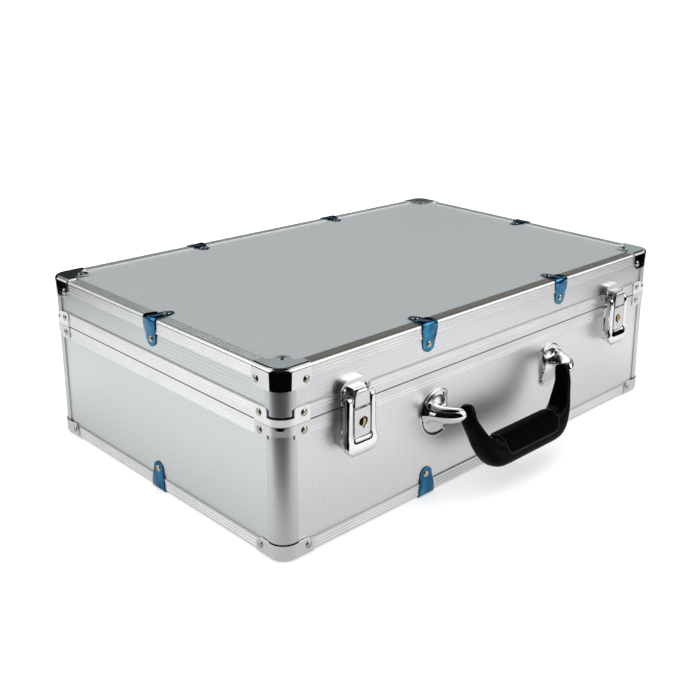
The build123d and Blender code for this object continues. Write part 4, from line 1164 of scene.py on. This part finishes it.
# %% Grip brackets
for side, hand in (("left", -1), ("right", 1)):
    low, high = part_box("grip_bracket_" + side)
    outer_edge = abs(high.x if hand > 0 else low.x) / MM
    middle_x = hand * (outer_edge - FLANGE_RADIUS)
    middle_z = (low.z + high.z) / 2 / MM
    seat = (case_face - high.y) / MM
    name = "bracket_pressing_" + side
    bracket_mesh = joined(name, [flange_mesh(hand, middle_x, middle_z, seat), horn_mesh(hand, middle_x)])
    face_outward(bracket_mesh)
    solid = ("grip_bracket_" + side,)
    pressed = new_piece(name, bracket_mesh, bracket_satin, "base", solid, sharp=60)
    pressed.data.materials.append(chrome)

# %% [markdown]
# ## Felt lining
# Base and lid are lined with a tray of thin felt, seen only when the case is open. A simulated cloth
# would take long and fall differently each time, so the tray is woven instead: soft inner corners, a
# rounded fold all round its floor, and an edge that ends just under the rim.

# %% Stations of a tray
FELT, FELT_FOLD, TRAY_CORNER, INNER_CORNER, FLOOR_INSET = 2.0, 4.0, 5.0, 3.0, 30
# The edge of the felt is round: share of its thickness, and dip below the rim, in mm
FELT_EDGE = ((0.2, 0.1), (0.5, 0), (0.8, 0.1))

# Each station: inset, corner radius, and height over the tray's floor, or dip below its rim
TRAY_OUTSIDE = [(FLOOR_INSET, TRAY_CORNER, 0), (0.3, TRAY_CORNER, 0), (0, TRAY_CORNER, 0.5)]
TRAY_RIM = [(0, TRAY_CORNER, 0.6)]
TRAY_RIM += [(FELT * part, TRAY_CORNER - FELT * part, dip) for part, dip in FELT_EDGE]
TRAY_RIM += [(FELT, INNER_CORNER, 0.6)]
TRAY_INSIDE = []
for angle in range(0, 91, 15):
    c, d = math.cos(math.radians(angle)), math.sin(math.radians(angle))
    TRAY_INSIDE.append((FELT + FELT_FOLD * (1 - c), INNER_CORNER, FELT + FELT_FOLD * (1 - d)))
TRAY_INSIDE.append((FLOOR_INSET, TRAY_CORNER, FELT))
print("stations from the tray's outside to its inside:", len(TRAY_OUTSIDE + TRAY_RIM + TRAY_INSIDE))

# %% Felt lining
def rounded_outline(low, high, inset, radius, z):
    """Points round a rounded rectangle, in metres, drawn in by inset mm."""
    corners = (((high.x, high.y), 0), ((low.x, high.y), 90), ((low.x, low.y), 180), ((high.x, low.y), 270))
    points = []
    for corner, start in corners:
        centre_x = corner[0] - math.copysign((inset + radius) * MM, corner[0] - (low.x + high.x) / 2)
        centre_y = corner[1] - math.copysign((inset + radius) * MM, corner[1] - (low.y + high.y) / 2)
        for angle in range(0, 91, 18):
            t = math.radians(start + angle)
            x, y = centre_x + radius * MM * math.cos(t), centre_y + radius * MM * math.sin(t)
            points.append(Vector((x, y, z)))
    return points


for body, up in (("base", 1), ("lid", -1)):
    low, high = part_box(body + "_lining")
    floor_z, rim_z = (low.z, high.z) if up > 0 else (high.z, low.z)
    stations = [(inset, radius, floor_z + up * rise * MM) for inset, radius, rise in TRAY_OUTSIDE]
    stations += [(inset, radius, rim_z - up * dip * MM) for inset, radius, dip in TRAY_RIM]
    stations += [(inset, radius, floor_z + up * rise * MM) for inset, radius, rise in TRAY_INSIDE]
    rows = [rounded_outline(low, high, *station) for station in stations]
    felt_mesh = woven(body + "_felt", rows, loop_points=True, caps=True)
    face_outward(felt_mesh)
    new_piece(body + "_felt", felt_mesh, felt, body, (body + "_lining",), sharp=60)

# %% [markdown]
# ## Rounded sheet edges
# Pressed metal has no knife edges, and its rounded edges draw the thin bright and dark lines that outline
# the caps and plates in the photograph. These pieces could be made anew, but only their edges need it. A
# small bevel modifier rounds them, and leaves the solid's own mesh alone.

# %% Rounded sheet edges
HARD_EDGE = math.radians(40)
EDGE_ROUNDING = {
    "lid_top_caps": 0.25, "lid_rim_caps": 0.55, "base_rim_caps": 0.55, "base_bottom_caps": 0.4,
    "latch_catch_plates": 0.6, "latch_base_plates": 0.6, "latch_lock_bodies": 0.3,
}
for name, width in EDGE_ROUNDING.items():
    rounding = cad_nodes[name].modifiers.new("rounding", "BEVEL")
    rounding.width = width * MM
    rounding.segments = 2
    rounding.limit_method = "ANGLE"
    rounding.angle_limit = HARD_EDGE
# The rounded edges of the lock bodies take the near-black steel: painted shade along their edges.
lock_bodies = cad_nodes["latch_lock_bodies"]
lock_bodies.data.materials.append(shadow_steel)
lock_bodies.modifiers["rounding"].material = 1
print("rounded nodes:", len(EDGE_ROUNDING))

# %% [markdown]
# ## Dark gaps
# Narrow gaps between pieces look black in the photograph: round a post where a cap frames it, under the
# lid, and round the lock cylinders. In the solids these gaps are too fine to hold a shadow. They could be
# cut wider, but the CAD stays as it is, so their shade is painted into the finishes instead, by the place
# on the case.

# %% Painting shade into a gap
# Colours of painted shade: black in gaps, dark grey along the parting, grey and warm grey on shaded top
# faces.
PAINTED_SHADE_BLACK, PAINTED_SHADE_DARK, PAINTED_SHADE_GREY = grey(0.006), grey(0.06), grey(0.38)
PAINTED_SHADE_WARM = (0.56, 0.54, 0.50)


def around(tree, value, low, high, soft=0.2 * MM):
    """1 between low and high, falling to 0 within a soft margin on both sides."""
    rising = mapped(tree, value, low - soft, low + soft)
    falling = mapped(tree, value, high + soft, high - soft)
    return maths(tree, "MULTIPLY", rising, falling)


def paint_shade(material, mask, colour=PAINTED_SHADE_BLACK):
    """Paints shade into the material: black, or another colour, where the mask is 1."""
    tree = material.node_tree
    shader = tree.nodes["Principled BSDF"]
    tone = shader.inputs["Base Color"].links[0].from_socket
    tree.links.new(blend_colours(tree, mask, tone, colour), shader.inputs["Base Color"])


def corner_place(tree, name):
    """A point by the corners of a node: leg along the wall, depth behind both walls, and z, in metres."""
    low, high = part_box(name)
    axes = object_axes(tree)
    from_wall = []
    for i in (0, 1):
        off_middle = maths(tree, "ABSOLUTE", maths(tree, "SUBTRACT", axes[i], (low[i] + high[i]) / 2))
        from_wall.append(maths(tree, "SUBTRACT", (high[i] - low[i]) / 2, off_middle))
    leg, depth = maths(tree, "MAXIMUM", *from_wall), maths(tree, "MINIMUM", *from_wall)
    return SimpleNamespace(leg=leg, depth=depth, z=axes[2])


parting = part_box("lid_rim_caps")[0].z
rim_face_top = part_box("lid_rim_caps")[1].z
print("the case parts at", round(parting / MM, 1), "mm")

# %% [markdown]
# ## Gaps round the corner posts
# Behind each corner stands a post that the caps frame like a window. A real cap stands off the post, and
# one looks into a black gap below and beside it. The shade of the gap is painted as two black bands on the
# post: one along the lower edge of the window, and one along its side, each by its distance from the corner
# or its height.

# %% Gaps round the corner posts
WINDOW, LID_BAND, GAP_SHADE, PAST_WINDOW, FAR_OUT = 12.8 * MM, 5.2 * MM, 1.7 * MM, 1.0 * MM, 10 * MM
CAP_OVERLAP, CAP_SHADE, BAND_MARGIN = 2.0 * MM, 0.9 * MM, 0.5 * MM

tree = satin_post_lid.node_tree
post = corner_place(tree, "lid_corner_posts")
under_band = around(tree, post.z, parting, parting + LID_BAND + GAP_SHADE)
bottom_gap_shade = maths(tree, "MULTIPLY", under_band, around(tree, post.leg, -FAR_OUT, WINDOW))
beside = around(tree, post.leg, WINDOW - GAP_SHADE, WINDOW + PAST_WINDOW)
side_gap_shade = maths(tree, "MULTIPLY", beside, around(tree, post.z, parting, rim_face_top - BAND_MARGIN))
# Painted shade in the gaps round the lid's posts.
paint_shade(satin_post_lid, maths(tree, "MAXIMUM", bottom_gap_shade, side_gap_shade))

tree = satin_post_base.node_tree
post = corner_place(tree, "base_corner_posts")
cap_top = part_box("base_bottom_caps")[1].z
bottom_gap_shade = around(tree, post.z, cap_top - CAP_OVERLAP, cap_top + CAP_SHADE)
beside = around(tree, post.leg, WINDOW - GAP_SHADE / 2, WINDOW + PAST_WINDOW)
band_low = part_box("base_rim_caps")[0].z + BAND_MARGIN
side_gap_shade = maths(tree, "MULTIPLY", beside, around(tree, post.z, band_low, parting))
# Painted shade in the gaps round the base's posts.
paint_shade(satin_post_base, maths(tree, "MAXIMUM", bottom_gap_shade, side_gap_shade))
print("post gaps drawn", round(WINDOW / MM, 1), "mm from the corners")

# %% [markdown]
# ## Shade under the lid
# In the photograph the cap below the lid is black at its top where it turns round the corner, in a thin
# wedge. The lamps don't make such a shade by themselves, since the solids nearly touch there. So the top
# of the cap is darkened where it turns round the corner, and the deeper the farther it turns.

# %% Shade under the lid on the middle caps
SHADE_START, SHADE_FULL, SHADE_THIN, SHADE_THICK = 0.1 * MM, 2.8 * MM, 0.6 * MM, 2.2 * MM

tree = rim_steel_base.node_tree
cap = corner_place(tree, "base_rim_caps")
roundness = mapped(tree, cap.depth, SHADE_START, SHADE_FULL, smooth=True)
shade_low = maths(tree, "SUBTRACT", parting - SHADE_THIN, maths(tree, "MULTIPLY", roundness, SHADE_THICK))
paint_shade(rim_steel_base, maths(tree, "MULTIPLY", maths(tree, "GREATER_THAN", cap.z, shade_low), roundness))
print("shade on the middle caps up to", round((SHADE_THIN + SHADE_THICK) / MM, 1), "mm deep")

# %% [markdown]
# ## Ring and notch of the lock cylinders
# A brass cylinder sits in a slightly larger hole of its tile, with a notch below for the key. Cutting the
# hole would change a working piece. So the shade in a ring round the cylinder and in the notch is painted
# dark instead, and one side of the brass is painted into shade along a slanting line.

# %% Ring and notch of the lock cylinders
CYLINDER_RADIUS, RING, NOTCH_HALF, NOTCH_DROP = 3.1 * MM, 0.6 * MM, 0.7 * MM, 2.2 * MM
KEY_SLANT, KEY_SHADE, KEY_SOFT = -0.3, -0.35 * CYLINDER_RADIUS, 0.4 * MM

cylinder_low, cylinder_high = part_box("latch_cylinder_left")
cylinder = (cylinder_low + cylinder_high) / 2


def from_cylinder(tree):
    """Across and up from the middle of the nearer lock cylinder."""
    axes = object_axes(tree)
    across = [maths(tree, "SUBTRACT", axes[0], side * abs(cylinder.x)) for side in (-1, 1)]
    on_right = maths(tree, "GREATER_THAN", axes[0], 0.0)
    choice = {"Factor": on_right, "A": across[0], "B": across[1]}
    nearer = put(tree, "ShaderNodeMix", choice).outputs["Result"]
    return nearer, maths(tree, "SUBTRACT", axes[2], cylinder.z)


tree = tile_steel.node_tree
across, up = from_cylinder(tree)
squares = [maths(tree, "MULTIPLY", way, way) for way in (across, up)]
reach = maths(tree, "SQRT", maths(tree, "ADD", *squares))
ring = around(tree, reach, 0.0, CYLINDER_RADIUS + RING)
below = around(tree, up, -CYLINDER_RADIUS - NOTCH_DROP, 0.0)
notch = maths(tree, "MULTIPLY", around(tree, across, -NOTCH_HALF, NOTCH_HALF), below)
# Painted shade in the ring round the cylinder and in the notch below it.
paint_shade(tile_steel, maths(tree, "MAXIMUM", ring, notch))

tree = lock_brass.node_tree
across, up = from_cylinder(tree)
slanted = maths(tree, "ADD", across, maths(tree, "MULTIPLY", up, KEY_SLANT))
# Painted shade on one side of the brass.
paint_shade(lock_brass, around(tree, slanted, -FAR_OUT, KEY_SHADE, KEY_SOFT))
print("lock cylinders", round(abs(cylinder.x) / MM, 1), "mm from the middle")

# %% [markdown]
# ## Lines along the profiles
# Where lid and base meet, a thin dark line of painted shade runs all round. Above it and below it, the
# narrow top faces of the lid's rim and of the bottom profile look grey in the photograph, and are painted
# grey as shade; the top face of the front edge is painted a warm grey, as shade too. Each has its own
# height on the case, so all of them are painted by height. A dark strip of mesh laid over each line would
# do too, but it would stand out from the face.

# %% Lines along the profiles
EDGE_FACE, LINE_SOFT = 11.5 * MM, 0.1 * MM
UNDER_PARTING, OVER_PARTING, UNDER_TOP, OVER_TOP = 0.5 * MM, 0.4 * MM, 0.3 * MM, 0.5 * MM
TOP_FACE = 0.6 * MM

edge_face_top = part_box("base_edge_front")[0].z + EDGE_FACE
face_tops = (rim_face_top, edge_face_top)
# Painted shade: a dark line along the parting, and grey on the narrow top faces.
for material in (profile_x, profile_y):
    tree = material.node_tree
    z = object_axes(tree)[2]
    paint_shade(material, around(tree, z, parting - UNDER_PARTING, parting + OVER_PARTING, LINE_SOFT), PAINTED_SHADE_DARK)
    tops = [around(tree, z, top - UNDER_TOP, top + OVER_TOP, LINE_SOFT) for top in face_tops]
    paint_shade(material, maths(tree, "MAXIMUM", *tops), PAINTED_SHADE_GREY)

# Painted shade: the top face of the front edge in warm grey.
tree = front_edge.node_tree
on_top = around(tree, object_axes(tree)[2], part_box("lid_edge_front")[1].z - TOP_FACE, 1.0)
paint_shade(front_edge, on_top, PAINTED_SHADE_WARM)
print("lines at", [round(z / MM, 1) for z in (parting, rim_face_top, edge_face_top)], "mm")
